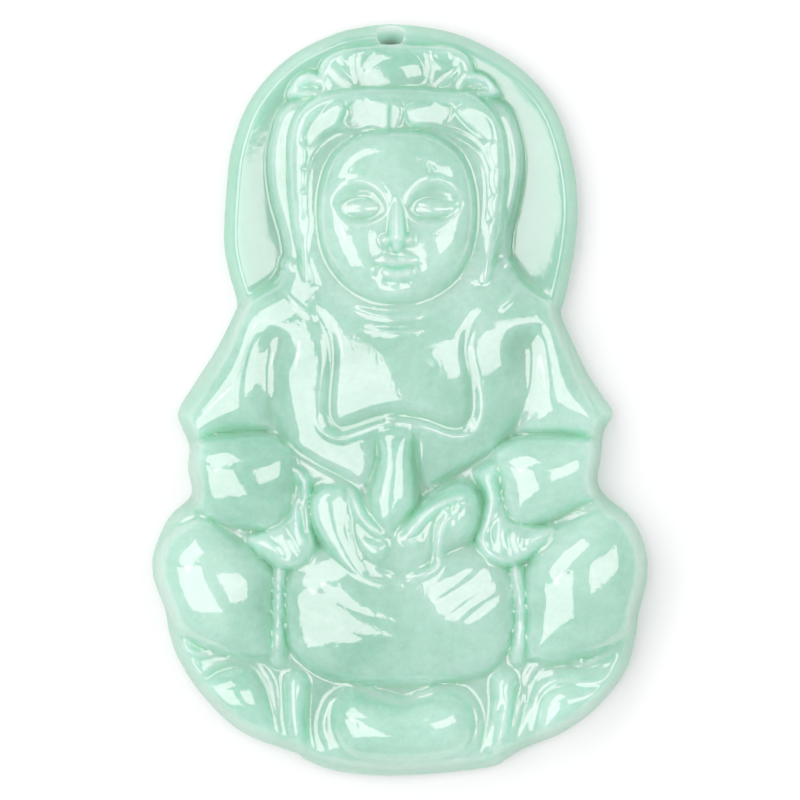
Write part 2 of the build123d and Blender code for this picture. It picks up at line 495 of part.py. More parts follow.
def relief(x, y):
    """Height of the carved front in percent of THICKNESS, at places in squares: the halo, and the forms laid
    over it group by group."""
    z = halo_height(x, y)
    head = HOOD + NECK + HAIR + EARS + CROWN
    trunk = ARMS + SLEEVES + CHEST + KNEES + LAP + CUFFS + HANDS + VASE + SEAT
    for form in BODY + head + trunk:
        z = carve(z, x, y, form)
    u, v = x - FACE_X, y - FACE_Y
    for form in FACE:
        z = carve(z, u, v, form)
    for form in FACE_PAIRS:
        z = carve(z, u, v, form)
        z = carve(z, u, v, mirrored(form))
    for form in FACE_MIDDLE:
        z = carve(z, u, v, form)
    return z


SQUARE_X, SQUARE_Y = WIDTH / COLUMNS, HEIGHT / ROWS
# The first and last rows of facets stand this many squares inside the ends of the stone
ROW_STARTS = [0.04, 0.22, 0.5, 0.9, 1.4]

# The cord hole's mouth, in squares beside the grid's middle
CORD_HOLE_X = -1.1


def edge_curve():
    """The stone's outline in millimetres."""
    squares = smooth_curve(EDGE, closed=True)
    return (squares - [MIDDLE_X, MIDDLE_Y]) * [SQUARE_X, SQUARE_Y]


def front_height(x, y):
    """Height of the front in millimetres: the relief, rounded down to the girdle along the stone's edge."""
    height = relief(x / SQUARE_X + MIDDLE_X, y / SQUARE_Y + MIDDLE_Y) * THICKNESS / 100
    share = np.clip(nearest(x, y, edge_curve())[0] / RIM_ROUNDING, 0, 1)
    return GIRDLE + (height - GIRDLE) * np.sqrt(1 - (1 - share) ** 2)


def front_net():
    """Corners of the front's facets: rows from the stone's top to its foot, columns from edge to edge."""
    edge = edge_curve()[:-1]
    edge = np.roll(edge, -edge[:, 1].argmax(), axis=0)
    foot = edge[:, 1].argmin()
    right, left = edge[: foot + 1], np.vstack([edge[foot:], edge[:1]])
    starts = np.array(ROW_STARTS) * SQUARE_Y
    upper, lower = edge[0, 1] - starts, edge[foot, 1] + starts[::-1]
    count = round((upper[-1] - lower[0]) / FACET_HEIGHT)
    y = np.concatenate([upper, np.linspace(upper[-1], lower[0], count + 1)[1:-1], lower])
    start = np.interp(-y, -left[::-1, 1], left[::-1, 0])
    end = np.interp(-y, -right[:, 1], right[:, 0])
    s = np.linspace(-1, 1, round(WIDTH / FACET_WIDTH) + 1)
    s = 0.7 * s + 0.3 * np.sin(0.5 * np.pi * s)
    x = (start + end)[:, None] / 2 + (end - start)[:, None] / 2 * s
    y = np.broadcast_to(y[:, None], x.shape)
    z = front_height(x, y)
    z[:, [0, -1]] = GIRDLE
    z[[0, -1], :] = GIRDLE
    return np.dstack([x, y, z])


def rim_loop(net):
    """The net's outermost corners, clockwise from the upper left."""
    return np.vstack([net[0], net[1:, -1], net[-1, -2::-1], net[-2:0:-1, 0]])


def facet(*corners):
    """One flat face through its corners."""
    return Face(Wire.make_polygon([Vector(*map(float, corner)) for corner in corners], close=True))


def stone():
    """The carved front, the upright girdle, the broken edge of the back and the flat back, as one solid."""
    net = front_net()
    faces = []
    for upper, lower in zip(net[:-1], net[1:]):
        for a, b, c, d in zip(upper[:-1], upper[1:], lower[1:], lower[:-1]):
            faces += [facet(a, d, b), facet(b, d, c)]
    rim = rim_loop(net)
    ahead, behind = np.roll(rim, -1, axis=0), np.roll(rim, 1, axis=0)
    along = (ahead - behind)[:, :2]
    along /= np.linalg.norm(along, axis=1, keepdims=True)
    inward = np.column_stack([along[:, 1], -along[:, 0]])
    girdle_foot = np.column_stack([rim[:, :2], np.full(len(rim), BACK_CHAMFER)])
    back = np.column_stack([rim[:, :2] + BACK_CHAMFER * inward, np.zeros(len(rim))])
    for i in range(len(rim)):
        j = (i + 1) % len(rim)
        faces.append(facet(rim[i], rim[j], girdle_foot[j], girdle_foot[i]))
        faces += [facet(girdle_foot[i], girdle_foot[j], back[j]), facet(girdle_foot[i], back[j], back[i])]
    faces.append(facet(*back))
    return Solid(Shell(faces))


def cord_hole():
    """A straight drilling that enters on the top rim and leans down through the stone to the back."""
    x = (CORD_HOLE_X - MIDDLE_X) * SQUARE_X
    y = HEIGHT / 2 - CORD_HOLE_WALL - CORD_HOLE_RADIUS
    z = GIRDLE + 0.5 * RIM_ROUNDING
    lean = np.radians(CORD_HOLE_TILT)
    axis = Plane(origin=(x, y, z), z_dir=(0, float(np.sin(lean)), float(np.cos(lean))))
    return axis * Cylinder(CORD_HOLE_RADIUS, 2 * THICKNESS)


pendant = stone() - cord_hole()
os.makedirs("parts", exist_ok=True)
export_step(pendant, "parts/carved_pendant.step")
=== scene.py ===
import json
from collections import namedtuple

import bmesh
import bpy
import numpy as np
from mathutils import Matrix, Vector


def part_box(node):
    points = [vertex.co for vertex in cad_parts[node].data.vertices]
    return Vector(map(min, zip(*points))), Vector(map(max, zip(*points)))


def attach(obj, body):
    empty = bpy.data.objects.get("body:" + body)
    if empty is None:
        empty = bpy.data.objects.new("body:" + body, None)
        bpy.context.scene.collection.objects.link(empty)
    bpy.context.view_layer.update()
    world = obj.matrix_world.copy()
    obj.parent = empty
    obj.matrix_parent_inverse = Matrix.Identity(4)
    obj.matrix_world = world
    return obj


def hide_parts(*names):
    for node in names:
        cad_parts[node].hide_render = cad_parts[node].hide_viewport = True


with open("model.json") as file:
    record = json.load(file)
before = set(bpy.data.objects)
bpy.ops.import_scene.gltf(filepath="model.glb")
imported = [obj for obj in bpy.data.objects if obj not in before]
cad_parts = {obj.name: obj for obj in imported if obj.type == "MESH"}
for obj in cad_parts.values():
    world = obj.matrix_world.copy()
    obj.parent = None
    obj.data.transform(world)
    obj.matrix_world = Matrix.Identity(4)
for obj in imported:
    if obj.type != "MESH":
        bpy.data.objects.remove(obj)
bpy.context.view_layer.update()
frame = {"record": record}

# The slab: one piece of pale green jade, sawn to the outline of the haloed figure and carved on one side.
# It is drawn on a carver's grid. A place is in squares right of and above the grid's middle, so it is a
# share of the stone's width or height, and a height or depth is a percent of its thickness.
COLUMNS, ROWS = 49.7, 75.5
MIDDLE_X, MIDDLE_Y = -0.15, 0.15
# The edge, clockwise from the top: halo, shoulder, elbow, forearm, knee, lotus seat and back up
EDGE = [
    (-0.5, 37.9), (4.5, 37.2), (8.6, 35.6), (12.7, 32.8), (15.5, 29.2), (17.1, 24.4), (17.7, 19.6),
    (17.3, 14.8), (16.4, 10.4), (16.0, 8.8), (16.9, 6.6), (18.7, 2.8), (20.3, 0.4), (21.2, -1.2),
    (20.3, -3.0), (20.0, -5.6), (19.7, -8.0), (20.6, -9.6), (23.0, -11.6), (24.5, -14.8), (24.6, -18.0),
    (23.8, -21.2), (23.5, -23.6), (22.4, -27.2), (19.5, -30.8), (16.2, -33.2), (12.4, -34.8), (10.7, -35.8),
    (8.5, -36.8), (0.0, -37.6), (-6.1, -37.2), (-9.6, -36.0), (-10.6, -35.3), (-16.0, -33.2),
    (-19.9, -29.6), (-22.3, -26.0), (-23.3, -23.2), (-23.7, -21.0), (-24.9, -17.6), (-24.8, -15.0),
    (-23.3, -11.6), (-21.1, -9.4), (-21.4, -6.8), (-21.3, -4.4), (-22.0, -2.7), (-22.4, -1.0), (-20.9, 1.6),
    (-18.6, 5.2), (-16.8, 8.8), (-16.5, 10.0), (-17.3, 13.0), (-17.8, 16.0), (-17.6, 20.8), (-17.0, 25.6),
    (-15.1, 30.4), (-11.5, 34.4), (-7.0, 36.8), (-3.9, 37.6),
]  # fmt: skip


def smooth_curve(points, closed=False, steps=6):
    """Catmull-Rom curve: a cubic from point to point, whose slope at a point joins its two neighbours."""
    p = np.array(points, dtype=float)
    if closed:
        p = np.vstack([p[-1:], p, p[:2]])
    else:
        p = np.vstack([2 * p[0] - p[1], p, 2 * p[-1] - p[-2]])
    t = np.linspace(0, 1, steps, endpoint=False)[None, :, None]
    a, b, c, d = (p[i : len(p) - 3 + i, None, :] for i in range(4))
    curve = b + 0.5 * t * (c - a + t * (2 * a - 5 * b + 4 * c - d + t * (3 * (b - c) + d - a)))
    return np.vstack([curve.reshape(-1, p.shape[1]), p[-2:-1]])


# The halo: a round, shallow bowl behind the head. It is ground hollow in the same jade, and its rim is left
# standing at the stone's edge. Its ground is harder to reach with the buff, so it is a little duller.

# The height of its floor, its rise to the rim, its middle, and where the rise begins and ends
HALO_FLOOR, HALO_RISE = 32, 11
HALO_X, HALO_Y = -1.7, 20.0
HALO_START, HALO_END = 11.0, 19.0


def halo_height(x, y):
    """Height of the halo's bowl in percent of THICKNESS: half a cosine wave from its floor to the rim."""
    share = np.clip((np.hypot(x - HALO_X, y - HALO_Y) - HALO_START) / (HALO_END - HALO_START), 0, 1)
    return HALO_FLOOR + HALO_RISE * (1 - np.cos(np.pi * share)) / 2


# The robed body: broad shoulders and a slightly domed trunk, carved from the stone of the slab. The carver
# leaves it standing over a low step at the stone's edge and rounds it evenly, so it mirrors broad windows.

# A cushion rises from foot at its outline to a level top within a shoulder this wide. A dome fills its
# outline like a blown skin, from foot at the outline to top, or adds top where its foot is None, and its
# power is 1 for a low, even curve and 0.5 for a full round one
Cushion = namedtuple("Cushion", "foot top shoulder outline")
Dome = namedtuple("Dome", "foot top power outline")
# Percent of THICKNESS: the fillet where two forms meet, and how steeply a form's side falls in one square.
# A side has reached the ground within this many squares of its foot
FILLET, SIDE = 2.5, 26
SIDE_REACH = 1.5
BODY = [
    Cushion(32, 50, 3.0, [
        (-16.5, 10.2), (-12.7, 11.9), (-11.4, 13.4), (0.0, 14.0), (10.6, 13.4), (12.0, 12.0), (16.4, 10.2),
        (17.6, 7.0), (26.0, 0.0), (26.0, -40.0), (-26.0, -40.0), (-26.0, 0.0), (-18.0, 7.0),
    ]),
    Dome(50, 77, 0.65, [
        (-15.6, 9.3), (-14.2, 10.6), (-12.6, 11.6), (-11.6, 13.0), (-10.4, 14.4), (0.0, 15.0), (9.8, 14.4),
        (10.9, 13.0), (12.2, 11.7), (13.8, 10.6), (15.1, 9.3), (16.4, 5.4), (17.9, 1.6), (19.4, -1.2),
        (19.4, -3.0), (18.0, -3.2), (15.0, -3.0), (12.0, -3.2), (10.4, -3.8), (8.1, -5.6), (5.4, -7.4),
        (2.7, -9.6), (0.4, -11.6), (-2.6, -12.4), (-6.0, -11.0), (-9.0, -9.0), (-11.4, -6.4), (-13.0, -3.6),
        (-15.0, -2.9), (-18.4, -3.2), (-20.6, -3.6), (-21.0, -1.4), (-19.3, 1.6), (-17.2, 5.4),
    ]),
]  # fmt: skip


# The least distance and the least area that anything is divided by
LEAST, LEAST_AREA = 1e-9, 1e-12


def nearest(x, y, curve):
    """Distance from each place to a curve of straight steps, and how far along it the nearest point lies."""
    best, along = np.full(x.shape, np.inf), np.zeros(x.shape)
    for i, (start, end) in enumerate(zip(curve[:-1, :2], curve[1:, :2])):
        step = end - start
        t = ((x - start[0]) * step[0] + (y - start[1]) * step[1]) / (step @ step + LEAST_AREA)
        t = np.clip(t, 0, 1)
        away = np.hypot(x - start[0] - t * step[0], y - start[1] - t * step[1])
        along = np.where(away < best, i + t, along)
        best = np.minimum(best, away)
    return best, along


def inside(x, y, loop):
    """True where a line drawn to the right crosses the closed curve an odd number of times."""
    odd = np.zeros(x.shape, dtype=bool)
    for (x0, y0), (x1, y1) in zip(loop[:-1, :2], loop[1:, :2]):
        if y0 != y1:
            crosses = ((y0 > y) != (y1 > y)) & (x < x0 + (y - y0) * (x1 - x0) / (y1 - y0))
            odd ^= crosses
    return odd


def blown(x, y, loop):
    """How far a skin over the closed curve would swell at places inside it: twice the reciprocal of the sum,
    over the curve's steps, of tan(half the angle seen) times the sum of both ends' 1 / distance."""
    total = np.zeros(x.shape)
    for (x0, y0), (x1, y1) in zip(loop[:-1, :2], loop[1:, :2]):
        ax, ay, bx, by = x0 - x, y0 - y, x1 - x, y1 - y
        ra, rb = np.hypot(ax, ay) + LEAST, np.hypot(bx, by) + LEAST
        cross = ax * by - ay * bx
        cross = np.where(np.abs(cross) < LEAST_AREA, LEAST_AREA, cross)
        total += (ra * rb - ax * bx - ay * by) / cross * (1 / ra + 1 / rb)
    return 2 / np.maximum(np.abs(total), LEAST)


def over(z, form):
    """The higher of the two surfaces, with a small fillet where they meet."""
    near = np.clip(1 - np.abs(z - form) / FILLET, 0, None)
    return np.maximum(z, form) + near**2 * FILLET / 4


def box_round(x, y, low, high, margin):
    """True at the places within this margin of a box."""
    near = (x > low[0] - margin) & (x < high[0] + margin)
    return near & (y > low[1] - margin) & (y < high[1] + margin)


def lay_cushion(z, x, y, form):
    """Lays a cushion on the relief. Its shoulder is a quarter circle seen from the side, and round its foot
    the side falls straight to the ground."""
    curve = smooth_curve(form.outline, closed=True)
    near = box_round(x, y, curve.min(axis=0), curve.max(axis=0), SIDE_REACH)
    deep = nearest(x[near], y[near], curve)[0] * np.where(inside(x[near], y[near], curve), 1, -1)
    share = np.clip(deep / form.shoulder, 0, 1)
    rise = (form.top - form.foot) * np.sqrt(1 - (1 - share) ** 2)
    z[near] = over(z[near], form.foot + rise + SIDE * np.minimum(deep, 0))


def lay_dome(z, x, y, form):
    """Lays a dome on the relief: its swell, as a share of the swell at its middle, raised to its power."""
    curve = smooth_curve(form.outline, closed=True)
    low, high = curve.min(axis=0), curve.max(axis=0)
    near = box_round(x, y, low, high, SIDE_REACH)
    within = near.copy()
    within[near] = inside(x[near], y[near], curve)
    swell = blown(x[within], y[within], curve)
    middle = (low + high) / 2
    share = (swell / max(swell.max(initial=0), blown(middle[:1], middle[1:], curve)[0])) ** form.power
    if form.foot is None:
        z[within] += form.top * share
        return
    ring = near & ~within
    z[ring] = over(z[ring], form.foot - SIDE * nearest(x[ring], y[ring], curve)[0])
    z[within] = over(z[within], form.foot + (form.top - form.foot) * share)


# The arms: the armpits' hollows and the bent forearms in their wide sleeves, carved from the same stone.
# The creases between sleeves and robe are cut last, with the edge of a small wheel.

# A line is raised, or cut where its rise is negative. It is laid in a box that reaches this many half widths
# past its points, and it fades over this share of its length at both ends
Line = namedtuple("Line", "half_width rise points")
LINE_REACH, LINE_FADE = 2.6, 0.25
ARMS = [
    Line(1.7, -11, [(-12.2, 7.6), (-12.8, 5.4), (-13.2, 3.2), (-13.2, 0.8), (-12.9, -1.8), (-12.2, -5.0)]),
    Line(1.7, -11, [(12.0, 7.6), (12.5, 5.4), (12.6, 3.2), (12.4, 0.8), (11.8, -1.8), (10.8, -5.0)]),
    Dome(54, 77, 0.8, [
        (-21.0, -4.6), (-18.6, -3.5), (-14.6, -3.2), (-11.6, -3.9), (-10.2, -5.4), (-10.2, -7.8),
        (-10.8, -10.4), (-12.0, -12.4), (-13.6, -12.9), (-16.7, -12.4), (-19.8, -11.0), (-20.8, -9.4),
        (-21.0, -6.8),
    ]),
    Dome(54, 77, 0.8, [
        (9.2, -5.4), (10.6, -4.2), (12.4, -3.7), (15.5, -3.5), (18.3, -3.8), (19.6, -4.6), (19.5, -7.0),
        (19.4, -9.2), (16.9, -10.8), (14.4, -12.0), (12.1, -12.5), (10.6, -11.8), (9.9, -9.0),
    ]),
]  # fmt: skip
SLEEVES = [
    Line(0.4, -4, [(-13.2, 0.8), (-12.9, -1.6), (-11.3, -4.2), (-8.6, -6.1), (-5.8, -7.6), (-4.0, -8.8)]),
    Line(0.4, -4, [(12.3, 0.8), (11.2, -2.8), (8.3, -5.3), (5.2, -7.4), (2.9, -8.7)]),
    Line(0.4, -4, [(-20.8, -4.0), (-18.5, -3.2), (-14.6, -2.9), (-11.8, -3.4)]),
    Line(0.4, -4, [(19.8, -4.0), (17.6, -3.4), (14.6, -3.2), (12.2, -3.4), (10.4, -3.8)]),
]  # fmt: skip


def lay_line(z, x, y, form):
    """Lays a line on the relief. Its section is a bell: exp(-(distance / half width)^2)."""
    curve = smooth_curve(form.points)
    near = box_round(x, y, curve.min(axis=0), curve.max(axis=0), LINE_REACH * form.half_width)
    away, along = nearest(x[near], y[near], curve)
    length = len(curve) - 1
    end = np.clip(np.minimum(along, length - along) / (LINE_FADE * length), 0, 1)
    z[near] += form.rise * end * (2 - end) * np.exp(-((away / form.half_width) ** 2))


# The cuffs: the sleeves' open ends, which hang from the wrists to the knees. They are carved as flat
# cushions of the same stone, and their folds and rolled edges are drawn on them with fine lines.
CUFFS = [
    Cushion(54, 72, 2.2, [
        (-11.0, -6.2), (-8.9, -7.4), (-9.2, -10.0), (-9.0, -12.6), (-8.6, -14.6), (-9.6, -16.2),
        (-11.4, -16.8), (-13.4, -16.0), (-15.4, -13.8), (-13.4, -12.8), (-11.6, -11.6), (-10.6, -9.0),
    ]),
    Cushion(54, 72, 2.2, [
        (9.4, -6.2), (7.4, -7.2), (8.4, -9.6), (8.0, -12.2), (7.4, -14.0), (8.4, -15.8), (10.4, -16.5),
        (12.8, -15.6), (15.4, -12.8), (13.0, -12.4), (10.8, -11.6), (10.0, -9.0),
    ]),
    Line(0.4, 4, [
        (-8.9, -7.4), (-9.5, -9.2), (-9.4, -11.0), (-9.2, -12.7), (-8.9, -14.5), (-9.8, -15.9),
        (-11.2, -16.4), (-12.9, -15.8),
    ]),
    Line(0.35, -4, [(-10.1, -7.8), (-10.0, -10.0), (-9.8, -12.4), (-9.5, -14.2)]),
    Line(0.35, 3, [(-10.7, -8.6), (-10.7, -10.4), (-10.5, -12.0), (-10.0, -13.6), (-9.6, -14.8)]),
    Line(0.35, -3, [(-11.6, -12.2), (-11.0, -13.6), (-10.2, -15.4)]),
    Line(0.35, -3, [(-13.4, -13.4), (-12.2, -14.2), (-11.2, -15.6)]),
    Line(0.4, 4, [
        (7.5, -7.5), (8.4, -8.3), (8.8, -9.8), (8.5, -11.2), (7.9, -12.7), (7.9, -14.0), (8.6, -15.2),
        (9.9, -15.9), (11.3, -15.7), (12.9, -14.7), (14.4, -13.2),
    ]),
    Line(0.35, -4, [(9.0, -7.6), (9.7, -9.4), (9.4, -11.6), (8.9, -13.2), (9.2, -14.6)]),
    Line(0.35, -3, [(11.0, -12.4), (10.7, -13.8), (11.3, -15.2)]),
    Line(0.35, -3, [(13.0, -12.8), (12.2, -13.6), (12.0, -14.6)]),
]  # fmt: skip


# The knees: the crossed legs under the robe, wide to both sides. Each is left as a full, smooth dome of the
# stone, with the robe's hem drawn over it in raised lines.
KNEES = [
    Dome(56, 82, 0.8, [
        (-22.7, -13.2), (-20.4, -11.9), (-17.7, -12.9), (-15.1, -14.9), (-13.2, -17.0), (-13.0, -20.0),
        (-12.9, -23.3), (-13.4, -25.4), (-16.1, -25.2), (-18.6, -24.8), (-21.2, -23.5), (-23.4, -20.9),
        (-24.3, -18.0), (-24.0, -15.0),
    ]),
    Dome(56, 82, 0.8, [
        (12.6, -25.2), (12.4, -21.6), (12.4, -18.0), (13.7, -14.6), (16.1, -12.6), (19.4, -11.3),
        (22.1, -11.9), (23.8, -14.2), (24.1, -16.8), (23.5, -19.8), (22.6, -22.6), (20.3, -24.7),
        (17.0, -25.6), (13.6, -25.8),
    ]),
    Line(0.35, 4, [(-23.8, -12.5), (-21.8, -11.6), (-20.0, -11.7), (-17.6, -12.9)]),
    Line(0.4, 5, [(-20.6, -11.0), (-18.4, -11.7), (-15.6, -13.7), (-12.9, -16.1)]),
    Line(0.4, 5, [(20.4, -10.2), (17.6, -11.2), (14.9, -13.2), (12.9, -15.6)]),
    Line(0.35, 3, [(22.6, -12.0), (20.0, -11.1), (17.2, -12.0)]),
]  # fmt: skip


# The lap: the robe stretched between the knees, with slack folds that run across it, and a strap that falls
# on each side. All are carved from the same stone and polished with it.

# A limb is a round ridge along points of (x, y, half width, top) that rises from foot
Limb = namedtuple("Limb", "foot points")
LAP = [
    Dome(56, 80, 0.8, [
        (-11.3, -18.0), (-9.6, -15.4), (-6.0, -14.0), (0.0, -13.4), (6.0, -13.8), (9.2, -15.2),
        (10.9, -18.0), (11.2, -21.0), (10.7, -23.9), (9.2, -26.3), (6.8, -27.5), (2.2, -28.1),
        (-2.8, -28.1), (-6.4, -27.6), (-9.0, -26.5), (-11.1, -24.3), (-11.6, -21.0),
    ]),
    Line(0.4, -0.5, [(-10.2, -16.2), (-7.6, -18.8), (-5.0, -20.6), (-2.0, -21.8), (1.0, -22.4)]),
    Line(0.35, -0.4, [(-10.8, -18.6), (-8.6, -21.0), (-6.0, -22.8), (-3.0, -24.0), (0.0, -24.6)]),
    Line(0.4, -0.9, [(3.0, -19.6), (5.0, -18.4), (7.6, -16.6)]),
    Line(0.35, -0.8, [(3.6, -20.8), (6.0, -19.2), (8.8, -17.0)]),
    Line(0.35, -0.8, [(4.6, -21.6), (7.0, -19.8), (9.6, -18.0)]),
    Line(0.4, -0.9, [(6.0, -22.0), (8.0, -20.4), (10.0, -19.2)]),
    Limb(40, [
        (-12.2, -17.0, 0.8, 60), (-12.3, -20.0, 0.7, 66), (-12.3, -23.6, 0.8, 64), (-12.4, -25.6, 1.1, 58),
    ]),
    Limb(40, [
        (11.4, -17.0, 0.9, 60), (11.8, -20.0, 0.7, 66), (11.8, -23.6, 0.8, 64), (11.6, -25.4, 1.1, 58),
    ]),
]  # fmt: skip


def lay_limb(z, x, y, form):
    """Lays a limb on the relief. Its section is half an ellipse."""
    curve = smooth_curve(form.points)
    low, high = curve[:, :2].min(axis=0), curve[:, :2].max(axis=0)
    near = box_round(x, y, low, high, curve[:, 2].max() + SIDE_REACH)
    away, along = nearest(x[near], y[near], curve)
    half_width, top = (np.interp(along, np.arange(len(curve)), curve[:, i]) for i in (2, 3))
    ridge = form.foot + (top - form.foot) * np.sqrt(np.clip(1 - (away / half_width) ** 2, 0, 1))
    z[near] = over(z[near], ridge - SIDE * np.clip(away - half_width, 0, None))


# The chest: bare skin in the robe's open neck. It swells gently, and the robe's rolled neckline is a groove
# with a raised edge beside it, both cut into the body's dome.

# A swelling is an oval that rises softly from what lies under it, and its rise is negative for a hollow
Swelling = namedtuple("Swelling", "x y half_width half_height turn rise")
CHEST = [
    Swelling(2.4, 3.4, 11.5, 9.0, 0, 7.5),
    Line(0.6, -5.0, [
        (-9.2, 9.4), (-7.8, 7.8), (-7.1, 6.2), (-6.9, 4.0), (-7.2, 0.6), (-7.1, -1.6), (-6.2, -2.6),
        (-4.6, -2.3), (-2.6, -1.6), (0.0, -1.3), (2.6, -1.7), (4.8, -2.5), (6.2, -2.3), (6.9, -1.0),
        (6.9, 2.0), (6.4, 5.0), (6.9, 7.4), (8.2, 9.2),
    ]),
    Line(0.3, 2.5, [(-8.6, -1.4), (-8.0, -2.9), (-6.3, -3.7), (-4.6, -3.3), (-2.0, -2.4), (0.0, -2.1)]),
    Line(0.3, 2.5, [(7.9, 2.0), (8.1, -1.0), (7.2, -3.2), (5.2, -3.6), (3.0, -2.8), (1.0, -2.2)]),
    Line(0.22, 2, [(-12.0, 11.4), (-11.0, 10.2), (-9.9, 9.2), (-8.4, 8.2)]),
    Line(0.22, 2, [(11.8, 11.6), (10.8, 10.3), (9.6, 9.2)]),
]  # fmt: skip


def lay_swelling(z, x, y, form):
    """Lays a swelling on the relief: rise * (1 - r^2)^2, with r from 0 at its middle to 1 at its edge."""
    turn = np.radians(form.turn)
    u = ((x - form.x) * np.cos(turn) + (y - form.y) * np.sin(turn)) / form.half_width
    v = ((y - form.y) * np.cos(turn) - (x - form.x) * np.sin(turn)) / form.half_height
    z += form.rise * np.clip(1 - u**2 - v**2, 0, 1) ** 2


# The hands: joined low in the lap, round the vase. They are small domes of the stone for the palms and
# the fingers, parted by lines.
HANDS = [
    Dome(60, 80, 0.6, [
        (-7.6, -8.4), (-8.8, -10.0), (-8.7, -12.2), (-7.5, -14.2), (-5.8, -16.2), (-4.4, -17.6),
        (-1.6, -18.6), (0.6, -18.4), (2.4, -17.6), (3.9, -16.8), (4.8, -15.2), (6.8, -13.9), (7.7, -12.0),
        (7.8, -9.9), (6.9, -8.5), (5.4, -8.2), (2.6, -9.4), (0.0, -11.0), (-3.4, -9.2), (-5.6, -8.2),
    ]),
    Dome(74, 79, 0.9, [
        (-8.4, -9.4), (-7.2, -8.7), (-5.7, -9.2), (-5.4, -11.4), (-5.3, -13.6), (-4.4, -15.4),
        (-3.5, -17.2), (-4.4, -17.4), (-5.9, -16.0), (-7.4, -14.0), (-8.4, -12.2), (-8.7, -10.6),
    ]),
    Dome(None, 6.0, 0.9, [
        (-5.4, -8.8), (-4.4, -9.0), (-3.4, -11.0), (-1.8, -12.8), (-1.6, -13.6), (-2.8, -13.4),
        (-4.6, -11.6),
    ]),
    Dome(None, 6.0, 0.9, [
        (-4.0, -8.6), (-3.0, -8.8), (-2.4, -10.8), (-1.0, -12.6), (-0.9, -13.4), (-2.0, -12.6),
        (-3.4, -11.0),
    ]),
    Dome(None, 5.0, 0.9, [
        (-4.2, -13.8), (-2.6, -14.0), (-1.4, -13.8), (-1.4, -15.0), (-2.2, -16.2), (-3.4, -15.4),
    ]),
    Dome(None, 8.0, 0.9, [
        (0.2, -13.4), (0.8, -12.0), (2.0, -10.6), (3.8, -9.6), (5.6, -9.0), (6.6, -9.0), (6.4, -9.8),
        (4.6, -10.4), (3.0, -11.4), (1.8, -12.8), (0.8, -13.6),
    ]),
    Dome(None, 5.0, 0.9, [
        (5.0, -10.4), (6.3, -9.4), (7.3, -9.8), (7.4, -11.6), (6.9, -13.1), (5.7, -13.9), (4.9, -13.2),
        (4.6, -11.8),
    ]),
    Line(0.35, 4, [
        (4.4, -10.2), (4.5, -11.6), (3.9, -12.8), (3.7, -14.4), (3.7, -16.2), (2.4, -17.2), (0.4, -17.8),
    ]),
    Line(0.3, -3, [(3.6, -11.4), (3.2, -13.0), (3.0, -15.2), (2.4, -16.4)]),
    Line(0.3, 3, [(-0.2, -13.2), (0.6, -13.9), (1.7, -14.0)]),
    Line(0.3, -3, [(-5.1, -11.0), (-4.8, -13.4), (-4.0, -15.4), (-2.8, -17.0)]),
    Line(0.25, 2.5, [(-4.4, -14.4), (-3.8, -15.8), (-2.6, -16.9), (-0.8, -17.4)]),
    Line(0.2, 1.5, [(-6.6, -14.8), (-4.8, -16.8), (-2.4, -18.0), (0.4, -18.2)]),
]  # fmt: skip


# The vase: a slender one that stands in the hands and reaches up to the neckline. It is a ridge of the same
# stone, wider at its belly, with a groove cut along each side to free it from the robe.
VASE = [
    Limb(74, [
        (-0.6, -2.6, 1.5, 76), (-0.6, -3.4, 1.7, 82), (-0.6, -5.6, 1.6, 86), (-0.8, -8.0, 2.0, 88),
        (-1.0, -9.8, 2.2, 89), (-1.3, -11.4, 1.6, 88), (-1.4, -13.0, 0.6, 82),
    ]),
    Line(0.4, -4, [(-2.6, -3.2), (-2.5, -5.4), (-2.9, -7.4), (-3.6, -8.8)]),
    Line(0.4, -4, [(1.5, -3.0), (1.4, -5.4), (1.8, -7.4), (2.6, -8.9)]),
]  # fmt: skip


